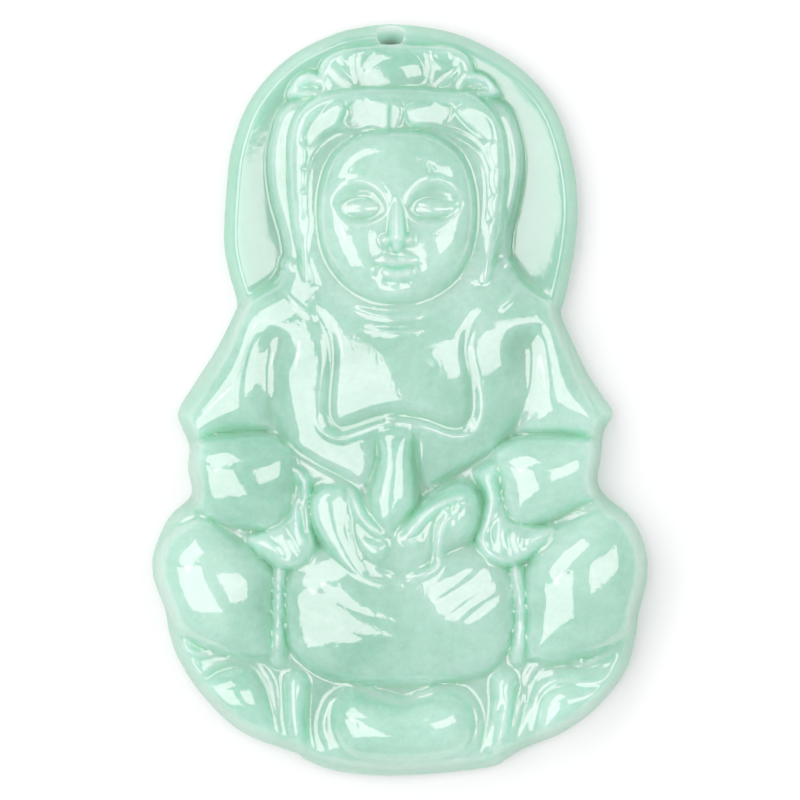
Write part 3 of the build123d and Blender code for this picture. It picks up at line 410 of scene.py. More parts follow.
# The lotus seat: a row of petals under the figure, carved from the same stone as overlapping domes. The
# petals' rims and veins are raised lines.
SEAT = [
    Dome(40, 64, 0.8, [
        (-22.2, -25.2), (-20.8, -26.7), (-19.9, -27.5), (-18.4, -26.5), (-15.4, -26.0), (-14.0, -26.8),
        (-13.0, -28.7), (-12.6, -30.8), (-12.0, -34.2), (-13.8, -34.0), (-17.0, -32.8), (-20.2, -29.8),
        (-21.8, -27.2),
    ]),
    Dome(40, 58, 0.5, [
        (12.2, -34.0), (12.4, -29.6), (13.0, -26.9), (14.8, -25.8), (18.0, -26.2), (20.2, -25.6),
        (22.4, -24.2), (22.6, -26.6), (19.4, -30.6), (16.6, -32.7), (14.4, -33.8),
    ]),
    Dome(50, 67, 0.8, [
        (13.4, -33.6), (13.5, -30.0), (14.5, -28.4), (16.2, -27.8), (18.2, -28.1), (20.2, -28.0),
        (21.6, -26.8), (21.2, -28.6), (19.2, -30.8), (16.6, -32.6), (14.6, -33.8),
    ]),
    Dome(44, 61, 0.9, [
        (-12.0, -27.2), (-11.0, -26.6), (-9.8, -26.8), (-8.9, -27.6), (-9.1, -29.5), (-9.2, -32.0),
        (-9.0, -35.2), (-10.6, -35.2), (-11.4, -34.0), (-12.0, -31.0),
    ]),
    Dome(44, 61, 0.9, [
        (8.6, -27.4), (9.6, -26.8), (10.8, -26.6), (11.8, -27.2), (11.6, -30.0), (11.0, -34.2),
        (9.8, -35.2), (8.6, -35.6), (8.9, -32.0),
    ]),
    Dome(44, 61, 0.5, [
        (-8.5, -32.8), (-8.2, -31.2), (-7.5, -29.5), (-5.8, -28.1), (-4.1, -28.0), (-2.1, -28.8),
        (-0.1, -29.5), (1.9, -28.8), (3.5, -28.1), (5.2, -28.0), (6.9, -28.8), (7.9, -30.5), (8.2, -32.6),
        (7.6, -35.4), (4.0, -36.5), (-0.1, -36.9), (-4.5, -36.6), (-7.8, -35.5),
    ]),
    Dome(54, 76, 0.8, [
        (-7.0, -31.4), (-6.3, -29.7), (-4.8, -29.1), (-2.8, -29.7), (-0.1, -30.3), (2.2, -29.7),
        (4.5, -29.0), (6.5, -29.9), (7.2, -31.9), (6.8, -33.9), (4.9, -35.4), (-0.1, -36.1), (-4.8, -35.5),
        (-6.6, -33.7),
    ]),
    Line(0.3, 4, [
        (-22.0, -25.1), (-20.8, -26.4), (-19.9, -27.2), (-18.9, -26.4), (-17.4, -25.8), (-15.7, -25.7),
        (-14.4, -26.2), (-13.4, -27.6), (-12.8, -28.9), (-12.4, -31.4),
    ]),
    Line(0.3, 4, [
        (-23.4, -23.2), (-22.0, -24.3), (-21.0, -25.0), (-19.7, -25.3), (-17.0, -25.1), (-15.0, -25.3),
        (-13.0, -26.4),
    ]),
    Line(0.3, 4, [
        (12.6, -28.4), (12.8, -27.2), (13.8, -26.3), (16.4, -25.8), (18.4, -26.2), (20.4, -25.3),
        (22.2, -24.0),
    ]),
    Line(0.3, 4, [
        (13.1, -33.0), (13.3, -29.9), (14.3, -28.4), (16.1, -27.8), (18.1, -28.1), (20.1, -27.9),
        (21.8, -26.7),
    ]),
    Line(0.25, 4, [(8.4, -35.0), (9.0, -32.4), (9.4, -29.6)]),
    Line(0.25, 4, [(9.4, -35.2), (10.1, -32.4), (10.6, -29.4)]),
    Line(0.25, 4, [(10.6, -34.6), (11.4, -32.0), (12.0, -29.4)]),
    Line(0.25, 3, [(11.6, -34.2), (12.4, -32.0), (12.8, -30.0)]),
    Line(0.3, 3, [(6.2, -29.0), (7.4, -30.6), (7.7, -32.6), (7.2, -34.8)]),
    Line(0.3, 3, [(-5.2, -28.7), (-7.0, -29.8), (-7.8, -31.6), (-7.7, -34.0)]),
    Line(0.3, 3, [(-4.0, -28.6), (-2.0, -29.3), (-0.1, -29.9), (1.9, -29.3), (4.6, -28.5)]),
    Line(0.45, -4, [(-10.6, -34.9), (-6.0, -36.4), (0.0, -37.0), (6.0, -36.5), (10.6, -35.0)]),
]  # fmt: skip


# The hood: a cloth drawn over the head that falls to the shoulders. It stands well above the halo, and its
# edge is rolled into a raised line.
HOOD = [
    Cushion(34, 55, 2.2, [
        (-11.4, 30.0), (-13.0, 27.0), (-13.4, 23.6), (-12.9, 20.0), (-12.0, 17.0), (-11.6, 14.4),
        (-11.4, 11.0), (0.0, 5.0), (11.4, 11.0), (11.0, 14.4), (11.1, 17.0), (11.8, 20.0), (12.3, 23.6),
        (11.9, 27.0), (10.4, 30.0), (5.0, 31.6), (-6.0, 31.6),
    ]),
    Cushion(55, 66, 1.1, [
        (-11.3, 24.0), (-11.1, 26.8), (-10.3, 28.9), (-8.4, 30.4), (-5.2, 31.2), (-1.0, 31.4), (3.2, 31.2),
        (6.8, 30.7), (8.8, 29.4), (10.0, 27.4), (10.5, 24.0), (10.3, 20.0), (9.5, 15.0), (7.2, 10.4),
        (-0.4, 8.4), (-7.8, 10.4), (-10.2, 15.0), (-11.1, 20.0),
    ]),
    Line(0.4, 3.0, [
        (-9.8, 30.1), (-11.6, 28.8), (-12.2, 27.4), (-12.6, 25.4), (-12.7, 23.5), (-12.5, 21.1),
        (-11.9, 18.9), (-11.3, 16.7), (-11.1, 14.8), (-11.7, 13.1), (-13.2, 11.7), (-15.6, 10.5),
    ]),
    Line(0.4, 3.0, [
        (9.0, 30.1), (10.3, 28.6), (11.1, 27.1), (11.4, 25.4), (11.6, 23.5), (11.3, 21.1), (10.6, 18.4),
        (10.2, 16.5), (10.3, 14.8), (11.2, 13.1), (12.7, 11.8), (15.4, 10.5),
    ]),
]  # fmt: skip


# The neck: a short column between chin and robe, with two round folds of skin as sculptors give a
# bodhisattva. It is carved from the same stone.
NECK = [
    Limb(50, [(-0.4, 13.0, 5.8, 64), (-0.4, 9.6, 5.6, 69), (-0.4, 7.6, 5.0, 72)]),
    Limb(60, [
        (-6.6, 10.6, 0.5, 66), (-4.2, 9.0, 0.6, 73), (-0.6, 8.3, 0.6, 76), (2.8, 8.9, 0.6, 73),
        (5.2, 10.4, 0.5, 66),
    ]),
    Limb(60, [
        (-6.2, 8.4, 0.4, 66), (-3.4, 7.2, 0.5, 75), (-0.6, 6.8, 0.5, 78), (2.2, 7.2, 0.5, 75),
        (4.8, 8.3, 0.4, 66),
    ]),
]  # fmt: skip


# The hair: a band of locks between the hood and the face. Each lock is cut as a small, nearly flat facet of
# the stone that leans outwards, so that it catches the light.

# A facet rises by this much, and falls by lean in each square towards the bearing turn, in degrees from
# the right. The bevel from its outline to its flat is this many squares wide
Facet = namedtuple("Facet", "rise lean turn outline")
FACET_BEVEL = 0.35
HAIR = [
    Facet(1.6, 2.0, 190, [
        (-9.9, 26.3), (-9.4, 27.5), (-8.2, 28.6), (-7.3, 29.5), (-6.2, 29.9), (-5.6, 29.2), (-6.2, 27.7),
        (-7.0, 27.1), (-8.4, 26.5), (-9.3, 25.6),
    ]),
    Facet(1.6, 2.1, 180, [
        (-5.3, 29.8), (-3.4, 30.2), (-1.3, 29.9), (-1.2, 28.6), (-1.4, 27.0), (-3.2, 27.3), (-5.4, 27.6),
        (-5.2, 28.7),
    ]),
    Facet(1.2, 1.2, 180, [(-1.0, 29.7), (0.2, 29.6), (0.2, 28.4), (-0.3, 27.2), (-1.0, 26.8)]),
    Facet(1.6, 1.9, 15, [
        (0.5, 29.3), (2.3, 29.8), (5.0, 29.6), (5.0, 28.3), (4.2, 27.7), (1.4, 27.4), (0.5, 28.2),
    ]),
    Facet(1.6, 1.9, 20, [
        (5.4, 29.0), (6.6, 29.7), (8.0, 28.9), (9.1, 27.4), (9.0, 26.0), (8.0, 26.3), (6.4, 27.6),
    ]),
    Facet(1.4, 1.9, 10, [(8.4, 25.5), (9.6, 26.0), (10.0, 24.6), (9.8, 23.3), (9.0, 23.4)]),
    Facet(1.2, 2.0, 0, [(9.0, 23.0), (9.9, 23.0), (10.1, 21.6), (9.5, 20.6), (8.9, 21.6)]),
    Facet(1.2, 2.0, 0, [(8.9, 20.4), (9.9, 20.6), (9.9, 19.2), (9.3, 18.2), (8.7, 19.2)]),
    Facet(1.2, 2.0, 0, [(8.7, 18.0), (9.6, 18.2), (9.5, 16.8), (8.9, 16.0), (8.4, 16.9)]),
    Facet(1.4, 2.4, 180, [
        (-10.8, 25.7), (-9.6, 25.5), (-9.4, 24.2), (-9.6, 23.4), (-10.8, 23.3), (-11.0, 24.6),
    ]),
    Facet(1.4, 2.4, 180, [
        (-10.9, 23.1), (-9.7, 23.2), (-9.6, 22.0), (-9.8, 21.0), (-10.8, 20.9), (-11.0, 22.0),
    ]),
    Facet(1.4, 2.4, 180, [
        (-10.7, 20.7), (-9.7, 20.8), (-9.6, 19.6), (-9.8, 18.4), (-10.4, 18.0), (-10.8, 19.2),
    ]),
    Line(0.25, -1.6, [
        (-9.3, 22.6), (-8.9, 24.4), (-7.9, 25.9), (-6.2, 26.9), (-3.8, 26.9), (-1.4, 26.3), (0.4, 26.8),
        (2.6, 27.1), (5.0, 27.0), (7.0, 26.0), (8.0, 24.8), (8.5, 22.8),
    ]),
    Line(0.3, -1.6, [
        (-10.0, 29.0), (-8.0, 30.4), (-5.0, 30.9), (-1.0, 31.0), (3.2, 30.8), (6.6, 30.3), (8.8, 29.0),
    ]),
    Line(0.22, 0.8, [(-9.2, 16.4), (-9.3, 19.0), (-9.3, 21.6), (-8.9, 24.0), (-8.0, 25.6)]),
    Line(0.22, 0.8, [(8.2, 16.0), (8.4, 18.6), (8.5, 21.4), (8.1, 24.0), (7.4, 25.4)]),
]  # fmt: skip


def lay_facet(z, x, y, form):
    """Lays a facet on the relief: a leaning plane over its outline, with a parabolic bevel round it."""
    curve = smooth_curve(form.outline, closed=True)
    low, high = curve.min(axis=0), curve.max(axis=0)
    within = box_round(x, y, low, high, 0)
    within[within] = inside(x[within], y[within], curve)
    deep = np.clip(nearest(x[within], y[within], curve)[0] / FACET_BEVEL, 0, 1)
    turn, middle = np.radians(form.turn), (low + high) / 2
    beyond = (x[within] - middle[0]) * np.cos(turn) + (y[within] - middle[1]) * np.sin(turn)
    z[within] += (form.rise - form.lean * beyond) * deep * (2 - deep)


# The ears: long lobes that hang beside the face under the locks. Each is carved from the same stone as a
# narrow ridge.
EARS = [
    Limb(52, [(-9.0, 18.2, 0.7, 66), (-9.5, 16.2, 0.7, 67), (-9.5, 14.0, 0.6, 66), (-9.3, 12.2, 0.8, 67)]),
    Limb(52, [(8.4, 18.2, 0.7, 66), (8.8, 16.2, 0.7, 67), (8.6, 14.0, 0.6, 66), (8.2, 12.2, 0.8, 67)]),
]  # fmt: skip


# The crown: a low, flat band before the hood, with an oval plaque, leaves and scrolls drawn on it in fine
# lines, and a jewel like an open lens at each end. It is carved from the same stone.
CROWN = [
    Cushion(42, 53, 0.9, [
        (-8.8, 30.0), (-8.6, 31.6), (-8.3, 33.0), (-7.7, 34.3), (-6.4, 35.1), (-4.6, 35.5), (-2.8, 35.7),
        (-0.6, 35.8), (1.8, 35.7), (4.2, 35.6), (6.0, 35.1), (7.0, 34.0), (7.4, 31.8), (7.4, 29.8),
        (4.0, 29.2), (-5.0, 29.2),
    ]),
    Dome(53, 58, 0.9, [
        (-0.8, 35.2), (0.8, 34.8), (1.9, 33.8), (2.1, 32.5), (1.4, 31.4), (-0.8, 31.0), (-3.0, 31.4),
        (-3.8, 32.5), (-3.6, 33.8), (-2.5, 34.8),
    ]),
    Line(0.3, -1.2, [(-4.2, 35.4), (-4.6, 34.2), (-4.5, 32.8), (-4.0, 31.4)]),
    Line(0.3, -1.2, [(2.5, 35.4), (2.9, 34.2), (2.8, 32.8), (2.3, 31.4)]),
    Dome(None, 2.2, 0.8, [
        (-7.5, 33.9), (-6.6, 33.4), (-5.4, 32.4), (-4.7, 31.5), (-5.2, 31.2), (-6.2, 31.9), (-7.2, 33.0),
    ]),
    Dome(None, 2.2, 0.8, [
        (5.6, 33.5), (4.7, 32.9), (3.8, 32.2), (3.1, 31.4), (3.6, 31.2), (4.6, 31.8), (5.6, 32.8),
    ]),
    Line(0.28, 1.2, [(-5.2, 33.7), (-6.0, 34.2), (-5.9, 34.9), (-5.2, 35.0)]),
    Line(0.28, 1.3, [
        (3.0, 35.1), (3.1, 34.2), (3.8, 33.6), (4.8, 33.7), (5.2, 34.5), (4.6, 35.1), (4.0, 34.7),
    ]),
    Dome(42, 54, 0.45, [
        (-11.3, 30.5), (-10.9, 31.9), (-10.1, 32.7), (-9.0, 32.9), (-7.9, 32.3), (-6.9, 31.0), (-8.0, 30.5),
        (-9.8, 30.4),
    ]),
    Dome(None, -5, 0.7, [
        (-10.3, 31.1), (-9.9, 31.9), (-9.0, 32.1), (-8.2, 31.7), (-7.9, 31.1), (-9.2, 30.9),
    ]),
    Line(0.26, 2.8, [
        (-7.4, 30.9), (-9.0, 30.7), (-10.7, 30.9), (-10.4, 32.0), (-9.3, 32.6), (-8.1, 32.1), (-7.2, 31.0),
    ]),
    Dome(42, 54, 0.45, [
        (4.9, 30.9), (5.7, 32.2), (6.8, 32.9), (8.0, 32.8), (9.0, 32.1), (9.9, 30.7), (9.0, 30.4),
        (6.4, 30.5),
    ]),
    Dome(None, -5, 0.7, [(5.9, 31.2), (6.6, 32.0), (7.6, 32.2), (8.4, 31.8), (8.8, 31.1), (7.6, 30.9)]),
    Line(0.26, 2.8, [
        (5.6, 31.1), (6.3, 32.2), (7.4, 32.6), (8.7, 32.1), (9.4, 31.0), (8.2, 30.7), (6.6, 30.8),
        (5.5, 31.0),
    ]),
    Line(0.25, 2.4, [(6.7, 31.5), (7.5, 31.7), (8.2, 31.4)]),
]  # fmt: skip


# The face: a calm bodhisattva's, in equal thirds from hairline to chin, with half-closed eyes. It is the
# highest part of the relief, carved from the same stone. Places are in squares from its own middle.
FACE_X, FACE_Y = -0.45, 18.4
FACE_OUTLINE = [
    (0.0, 8.8), (3.6, 8.3), (6.4, 6.4), (7.7, 3.2), (7.9, -0.6), (7.1, -4.2), (5.0, -7.1), (2.4, -8.7),
    (0.0, -9.0), (-2.4, -8.7), (-5.0, -7.1), (-7.1, -4.2), (-7.9, -0.6), (-7.7, 3.2), (-6.4, 6.4),
    (-3.6, 8.3),
]  # fmt: skip
FACE = [Cushion(62, 82, 2.8, FACE_OUTLINE), Dome(None, 5.0, 1.0, FACE_OUTLINE)]
# Each of these is drawn on the right of the face and mirrored onto the left
FACE_PAIRS = [
    Swelling(3.9, -3.4, 3.2, 3.4, 0, 3.0),
    Dome(None, -4.6, 0.6, [
        (1.0, 1.0), (1.6, 2.2), (2.7, 3.0), (4.1, 3.2), (5.4, 2.7), (6.5, 1.5), (6.0, 0.4), (4.9, -0.5),
        (3.4, -0.8), (2.0, -0.4), (1.2, 0.2),
    ]),
    Swelling(3.6, 0.75, 2.3, 1.2, -4, 4.2),
    Line(0.35, 1.6, [(0.9, 0.8), (1.2, 2.0), (2.2, 3.1), (3.8, 3.7), (5.4, 3.2), (6.8, 1.9)]),
    Line(0.25, -1.8, [(1.5, 0.45), (2.4, 0.0), (3.6, -0.15), (4.8, 0.1), (5.8, 0.6)]),
    Line(0.25, -0.9, [(1.8, 1.25), (2.5, 1.75), (3.6, 1.95), (4.8, 1.7), (5.7, 1.1)]),
    Swelling(1.15, -2.35, 0.85, 0.75, 0, 4.5),
    Swelling(2.3, -4.95, 0.5, 0.45, 0, -1.5),
]  # fmt: skip
FACE_MIDDLE = [
    Limb(76, [
        (0.0, 2.4, 0.9, 84), (0.0, 1.4, 0.8, 89), (0.0, 0.0, 0.9, 94), (0.0, -1.6, 1.0, 99),
        (0.0, -2.3, 1.0, 100), (0.0, -2.9, 0.7, 94),
    ]),
    Line(0.35, -1.4, [(0.0, -3.2), (0.0, -3.7), (0.0, -4.2)]),
    Line(0.4, 3.6, [(-2.0, -4.8), (-1.1, -4.4), (0.0, -4.6), (1.1, -4.4), (2.0, -4.8)]),
    Line(0.45, 4.2, [(-1.6, -5.3), (-0.8, -5.75), (0.0, -5.85), (0.8, -5.75), (1.6, -5.3)]),
    Line(0.2, -2.8, [(-2.2, -4.85), (-1.2, -4.95), (0.0, -5.1), (1.2, -4.95), (2.2, -4.85)]),
    Line(0.5, -1.8, [(-1.5, -6.4), (0.0, -6.75), (1.5, -6.4)]),
    Swelling(0.0, -7.4, 2.2, 1.5, 0, 3.6),
]  # fmt: skip


def mirrored(form):
    """The same form on the other side of the middle line."""
    if isinstance(form, Swelling):
        return form._replace(x=-form.x, turn=-form.turn)
    drawn = "outline" if isinstance(form, Dome) else "points"
    return form._replace(**{drawn: [(-p[0],) + tuple(p[1:]) for p in getattr(form, drawn)]})


# The skin of the stone: one closed surface over the carved front, the upright girdle and the flat back, which
# is polished too. Its sections run from edge to edge and lie closer where the carving is finer.
(low_x, low_y, low_z), (high_x, high_y, high_z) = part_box("carved_pendant")
WIDTH, HEIGHT, THICKNESS = high_x - low_x, high_y - low_y, high_z - low_z
SQUARE_X, SQUARE_Y = WIDTH / COLUMNS, HEIGHT / ROWS
# Height of the upright girdle, and how far in from it the front's and the back's edges are rounded
GIRDLE, RIM_ROUNDING, BACK_ROUNDING = 0.0017, 0.0011, 0.0006
# How far in from the edge the stone is painted deeper green as shade, and how deep below its surroundings a
# hollow is at the greenest of its painted shade. The rim's share of painted shade falls by 1 over RIM_TINT
# from RIM_FULL at the edge, and is never above 1
RIM_TINT, DEEP_HOLLOW = 0.0009, 0.00022
RIM_FULL = 1.15
# Sections from head to foot, and places across the front, the back and each rounded edge of the back
SECTIONS, FRONT_PLACES, BACK_PLACES, CORNER_PLACES = 364, 240, 12, 5
# Where they crowd, how far the crowding reaches, and how much closer they lie there: in metres up the stone,
# and in half widths across it. They crowd at both ends too, each over END_REACH of the length, and the
# crowding is summed in steps
CROWD_Y = [(0.0165, 0.009, 0.7), (-0.008, 0.006, 0.3)]
CROWD_X = [(0, 0.36, 0.5)]
END_REACH, END_PULL = 0.03, 1.5
CROWDING_STEPS = 4000
# The buff's rounds on the stone, the rounds that tell how deep a hollow is, and how far each round moves a
# place towards its neighbours' mean
POLISHING_ROUNDS, HOLLOW_ROUNDS = 4, 60
POLISH = 0.2
# Points nearer than this are one point, in metres
WELD = 1e-7
# How each kind of form is laid on the relief
LAY = {
    Cushion: lay_cushion, Dome: lay_dome, Line: lay_line,
    Limb: lay_limb, Swelling: lay_swelling, Facet: lay_facet,
}  # fmt: skip


def relief(x, y):
    """Height of the carved front in percent of THICKNESS, at places in squares: the halo, and the forms laid
    over it region by region."""
    z = halo_height(x, y)
    head = HOOD + NECK + HAIR + EARS + CROWN
    trunk = ARMS + SLEEVES + CHEST + KNEES + LAP + CUFFS + HANDS + VASE + SEAT
    for form in BODY + head + trunk:
        LAY[type(form)](z, x, y, form)
    u, v = x - FACE_X, y - FACE_Y
    pairs = [side for form in FACE_PAIRS for side in (form, mirrored(form))]
    for form in FACE + pairs + FACE_MIDDLE:
        LAY[type(form)](z, u, v, form)
    return z


def crowded(low, high, count, crowds):
    """Places from low to high, whose spacing is the reciprocal of a weight: 1 + the sum of pull *
    exp(-((place - centre) / spread)^2) + END_PULL * exp(-distance / reach) for the distance to each end."""
    p = np.linspace(low, high, CROWDING_STEPS)
    reach = END_REACH * (high - low)
    weight = 1 + END_PULL * (np.exp(-(p - low) / reach) + np.exp(-(high - p) / reach))
    for centre, spread, pull in crowds:
        weight += pull * np.exp(-(((p - centre) / spread) ** 2))
    share = np.concatenate([[0], np.cumsum((weight[1:] + weight[:-1]) / 2)])
    return np.interp(np.linspace(0, share[-1], count), share, p)


def polished(height, rounds):
    """The height after rounds of polishing, which each move a place by POLISH to its neighbours' mean."""
    for _ in range(rounds):
        edge = np.pad(height, 1, mode="edge")
        beside = edge[:-2, 1:-1] + edge[2:, 1:-1] + edge[1:-1, :-2] + edge[1:-1, 2:]
        height = (1 - POLISH) * height + POLISH / 4 * beside
    return height


def outward(x, y, side):
    """Unit vectors in the floor's plane, square to the edge's run from head to foot, on this side of it. At
    both ends, where the two sides meet, they point straight to the head and to the foot."""
    across, along = side * -np.gradient(y), side * np.gradient(x)
    out = np.column_stack([across, along]) / np.hypot(across, along)[:, None]
    out[0], out[-1] = (0, 1), (0, -1)
    return out


def stone_skin():
    """Closed sections from head to foot, with the share of painted shade in hollows and along the edge at
    each of their places. In a section the front runs left to right at the relief's height, brought down to
    the girdle as the sine of the way in from the edge. The back runs right to left, its edges a quarter
    circle."""
    curve = smooth_curve(EDGE, closed=True)[:-1]
    curve = np.roll(curve, -curve[:, 1].argmax(), axis=0)
    curve = (curve - [MIDDLE_X, MIDDLE_Y]) * [SQUARE_X, SQUARE_Y]
    foot = curve[:, 1].argmin()
    right, left = curve[: foot + 1], np.vstack([curve[foot:], curve[:1]])
    y = crowded(curve[0, 1], curve[foot, 1], SECTIONS, CROWD_Y)
    start = np.interp(-y, -left[::-1, 1], left[::-1, 0])
    end = np.interp(-y, -right[:, 1], right[:, 0])
    across = crowded(-1, 1, FRONT_PLACES, CROWD_X)
    x = (start + end)[:, None] / 2 + (end - start)[:, None] / 2 * across
    y_front = np.broadcast_to(y[:, None], x.shape)
    height = relief(x / SQUARE_X + MIDDLE_X, y_front / SQUARE_Y + MIDDLE_Y) * THICKNESS / 100
    inward = nearest(x, y_front, np.vstack([curve, curve[:1]]))[0]
    bevel = np.sin(np.pi / 2 * np.clip(inward / RIM_ROUNDING, 0, 1))
    z = GIRDLE + (polished(height, POLISHING_ROUNDS) - GIRDLE) * bevel
    z[:, [0, -1]] = GIRDLE
    front = np.dstack([x, y_front, z])
    # Painted shade: a hollow is tinted deeper green by how far it lies below its polished surroundings
    hollow = np.clip((polished(height, HOLLOW_ROUNDS) - height) / DEEP_HOLLOW, 0, 1)
    # Painted shade: the stone is tinted deeper green near its edge
    rim = np.clip(RIM_FULL - inward / RIM_TINT, 0, 1)

    def corner(edge_x, out, angle):
        """The back's edge, this far round from upright to flat."""
        inset = BACK_ROUNDING * (1 - np.cos(angle))
        low = np.full(len(y), BACK_ROUNDING * (1 - np.sin(angle)))
        return np.column_stack([edge_x - out[:, 0] * inset, y - out[:, 1] * inset, low])

    turn = np.linspace(0, 0.5 * np.pi, CORNER_PLACES)
    down = [corner(end, outward(end, y, 1), a) for a in turn]
    up = [corner(start, outward(start, y, -1), a) for a in turn[::-1]]
    flat = [down[-1] + (up[0] - down[-1]) * s for s in np.linspace(0, 1, BACK_PLACES)[1:-1]]
    back = np.stack(down + flat + up, axis=1)
    plain = np.zeros(back.shape[:2])
    return np.concatenate([front, back], axis=1), np.hstack([hollow, plain]), np.hstack([rim, plain])


def skin_mesh(name, sections):
    """A mesh of quads between neighbouring sections, each a closed loop."""
    rows, places = sections.shape[:2]
    at = np.arange(rows * places).reshape(rows, places)
    ahead = np.roll(at, -1, axis=1)
    quads = np.stack([at[:-1], at[1:], ahead[1:], ahead[:-1]], axis=-1).reshape(-1, 4)
    mesh = bpy.data.meshes.new(name)
    mesh.from_pydata(sections.reshape(-1, 3).tolist(), [], quads.tolist())
    mesh.polygons.foreach_set("use_smooth", np.ones(len(mesh.polygons), dtype=bool))
    mesh.update()
    return mesh


skin, hollow, rim = stone_skin()
stone_mesh = skin_mesh("jade_pendant", skin)
for name, shares in (("hollow", hollow), ("rim", rim)):
    shade = stone_mesh.attributes.new(name, "FLOAT", "POINT")
    shade.data.foreach_set("value", shares.ravel().astype(np.float32))
# The first and the last section have no width, so the two sides meet there and are welded into one skin
welded = bmesh.new()
welded.from_mesh(stone_mesh)
bmesh.ops.remove_doubles(welded, verts=welded.verts, dist=WELD)
welded.to_mesh(stone_mesh)
welded.free()
pendant = bpy.data.objects.new("jade_pendant", stone_mesh)
bpy.context.scene.collection.objects.link(pendant)

# The cord hole: a straight drilling for a thin cord, from the top rim down to the back, on the lean and of
# the radius that the frame's mount gives. It is drilled last, and its wall is given a paler tone: partly the
# frosted look of an unpolished drill wall, partly painted light in the shaded bore.
mount = next(m for m in frame["record"]["mounts"] if m["name"] == "cord_hole")
HOLE_RADIUS = mount["dims"]["r_mm"] / 1000
DRILL_LENGTH, DRILL_SIDES = 3 * THICKNESS, 72
# A face is the hole's wall within this many radii of the axis, where its facing along the axis is below this
WALL_RADII, WALL_FACING = 1.05, 0.1
# Faces that meet at more degrees than this keep a sharp edge between them
SHARP_ANGLE = 50
hole_axis = np.array(mount["axis"])


def drill_mesh(radius, length, sides):
    """A closed cylinder along Z: a ring of (cos, sin) times the radius at each end, and one flat face over
    each."""
    angle = np.arange(sides) * 2 * np.pi / sides
    ring = np.column_stack([radius * np.cos(angle), radius * np.sin(angle), np.zeros(sides)])
    points = np.vstack([ring - [0, 0, length / 2], ring + [0, 0, length / 2]])
    i = np.arange(sides)
    j = (i + 1) % sides
    walls = np.column_stack([i, j, j + sides, i + sides]).tolist()
    mesh = bpy.data.meshes.new("drill")
    mesh.from_pydata(points.tolist(), [], walls + [i[::-1].tolist(), (i + sides).tolist()])
    mesh.polygons.foreach_set("use_smooth", np.ones(len(mesh.polygons), dtype=bool))
    return mesh


drill = bpy.data.objects.new("drill", drill_mesh(HOLE_RADIUS, DRILL_LENGTH, DRILL_SIDES))
bpy.context.scene.collection.objects.link(drill)
upright = Vector(hole_axis).to_track_quat("Z", "Y").to_matrix().to_4x4()
drill.matrix_world = Matrix.Translation(mount["pos_m"]) @ upright
bore = pendant.modifiers.new("cord hole", "BOOLEAN")
bore.operation = "DIFFERENCE"
bore.object = drill
bore.solver = "EXACT"
bpy.context.view_layer.update()
drilled = bpy.data.meshes.new_from_object(pendant.evaluated_get(bpy.context.evaluated_depsgraph_get()))
pendant.modifiers.remove(bore)
pendant.data = drilled
bpy.data.objects.remove(drill)
# The cut leaves points that lie on one edge only, between two faces. They are taken out, or both faces would
# be split into slivers there.
trimmed = bmesh.new()
trimmed.from_mesh(drilled)
spare = [point for point in trimmed.verts if len(point.link_edges) == 2]
bmesh.ops.dissolve_verts(trimmed, verts=spare)
trimmed.to_mesh(drilled)
trimmed.free()
middles, facing = np.empty(3 * len(drilled.polygons)), np.empty(3 * len(drilled.polygons))
drilled.polygons.foreach_get("center", middles)
drilled.polygons.foreach_get("normal", facing)
from_mouth = middles.reshape(-1, 3) - mount["pos_m"]
aside = from_mouth - np.outer(from_mouth @ hole_axis, hole_axis)
frosted_lit_wall = np.linalg.norm(aside, axis=1) < WALL_RADII * HOLE_RADIUS
frosted_lit_wall &= np.abs(facing.reshape(-1, 3) @ hole_axis) < WALL_FACING
# These faces get the paler tone: partly the frosted look of an unpolished drill wall, partly painted light in
# the shaded bore
drilled.attributes.new("drilled", "FLOAT", "FACE").data.foreach_set("value", frosted_lit_wall.astype(np.float32))
drilled.set_sharp_from_angle(angle=np.radians(SHARP_ANGLE))

# The jade: pale green and cloudy, and polished like glass all over. Light scatters millimetres deep in it.
# The halo's ground is duller, as it lies out of the buff's reach between rim and hood, and it is painted a
# darker green as shade. Hollows and the thin rim are painted deeper green as shade, and the drill wall is
# painted paler, partly its own frosted look and partly painted light.

# The share of dulling and of painted shade on the halo's ground falls by 1 over the fade, in percent of
# THICKNESS, from the full share at the halo's height, and is never above 1. It sets in from so many squares
# up, over the rise, in squares
DULL_SHADE_FULL, DULL_SHADE_FADE = 1.4, 1.2
DULL_SHADE_FROM, DULL_SHADE_RISE = 8.0, 1.5
places = np.empty(3 * len(drilled.vertices))
drilled.vertices.foreach_get("co", places)
px, py, pz = places.reshape(-1, 3).T
grid_x, grid_y = px / SQUARE_X + MIDDLE_X, py / SQUARE_Y + MIDDLE_Y
off_ground = np.abs(pz / THICKNESS * 100 - halo_height(grid_x, grid_y))
# Painted shade: this share darkens the halo's ground to a deeper green, and also makes it duller
dull_and_shade = np.clip(DULL_SHADE_FULL - off_ground / DULL_SHADE_FADE, 0, 1) * np.clip((grid_y - DULL_SHADE_FROM) / DULL_SHADE_RISE, 0, 1)
drilled.attributes.new("halo", "FLOAT", "POINT").data.foreach_set("value", dull_and_shade.astype(np.float32))
# Roughness of the stone and of the halo's ground
POLISHED, DULL = 0.05, 0.13
# The clouds' deeper and paler tone, and where in the noise each is whole
CLOUDS = [(0.32, (0.25, 0.47, 0.36, 1)), (0.68, (0.4, 0.635, 0.525, 1))]
# The noises' scale, detail, roughness and distortion, and how much darker or paler a grain is
CLOUD_NOISE = (110, 5, 0.55, 0.6)
GRAIN_NOISE = (1500, 3, 0.7, 0)
RIPPLE_NOISE = (520, 4, 0.5, 0)
GRAIN_TONES = (0.3, 0.7, 0.93, 1.07)
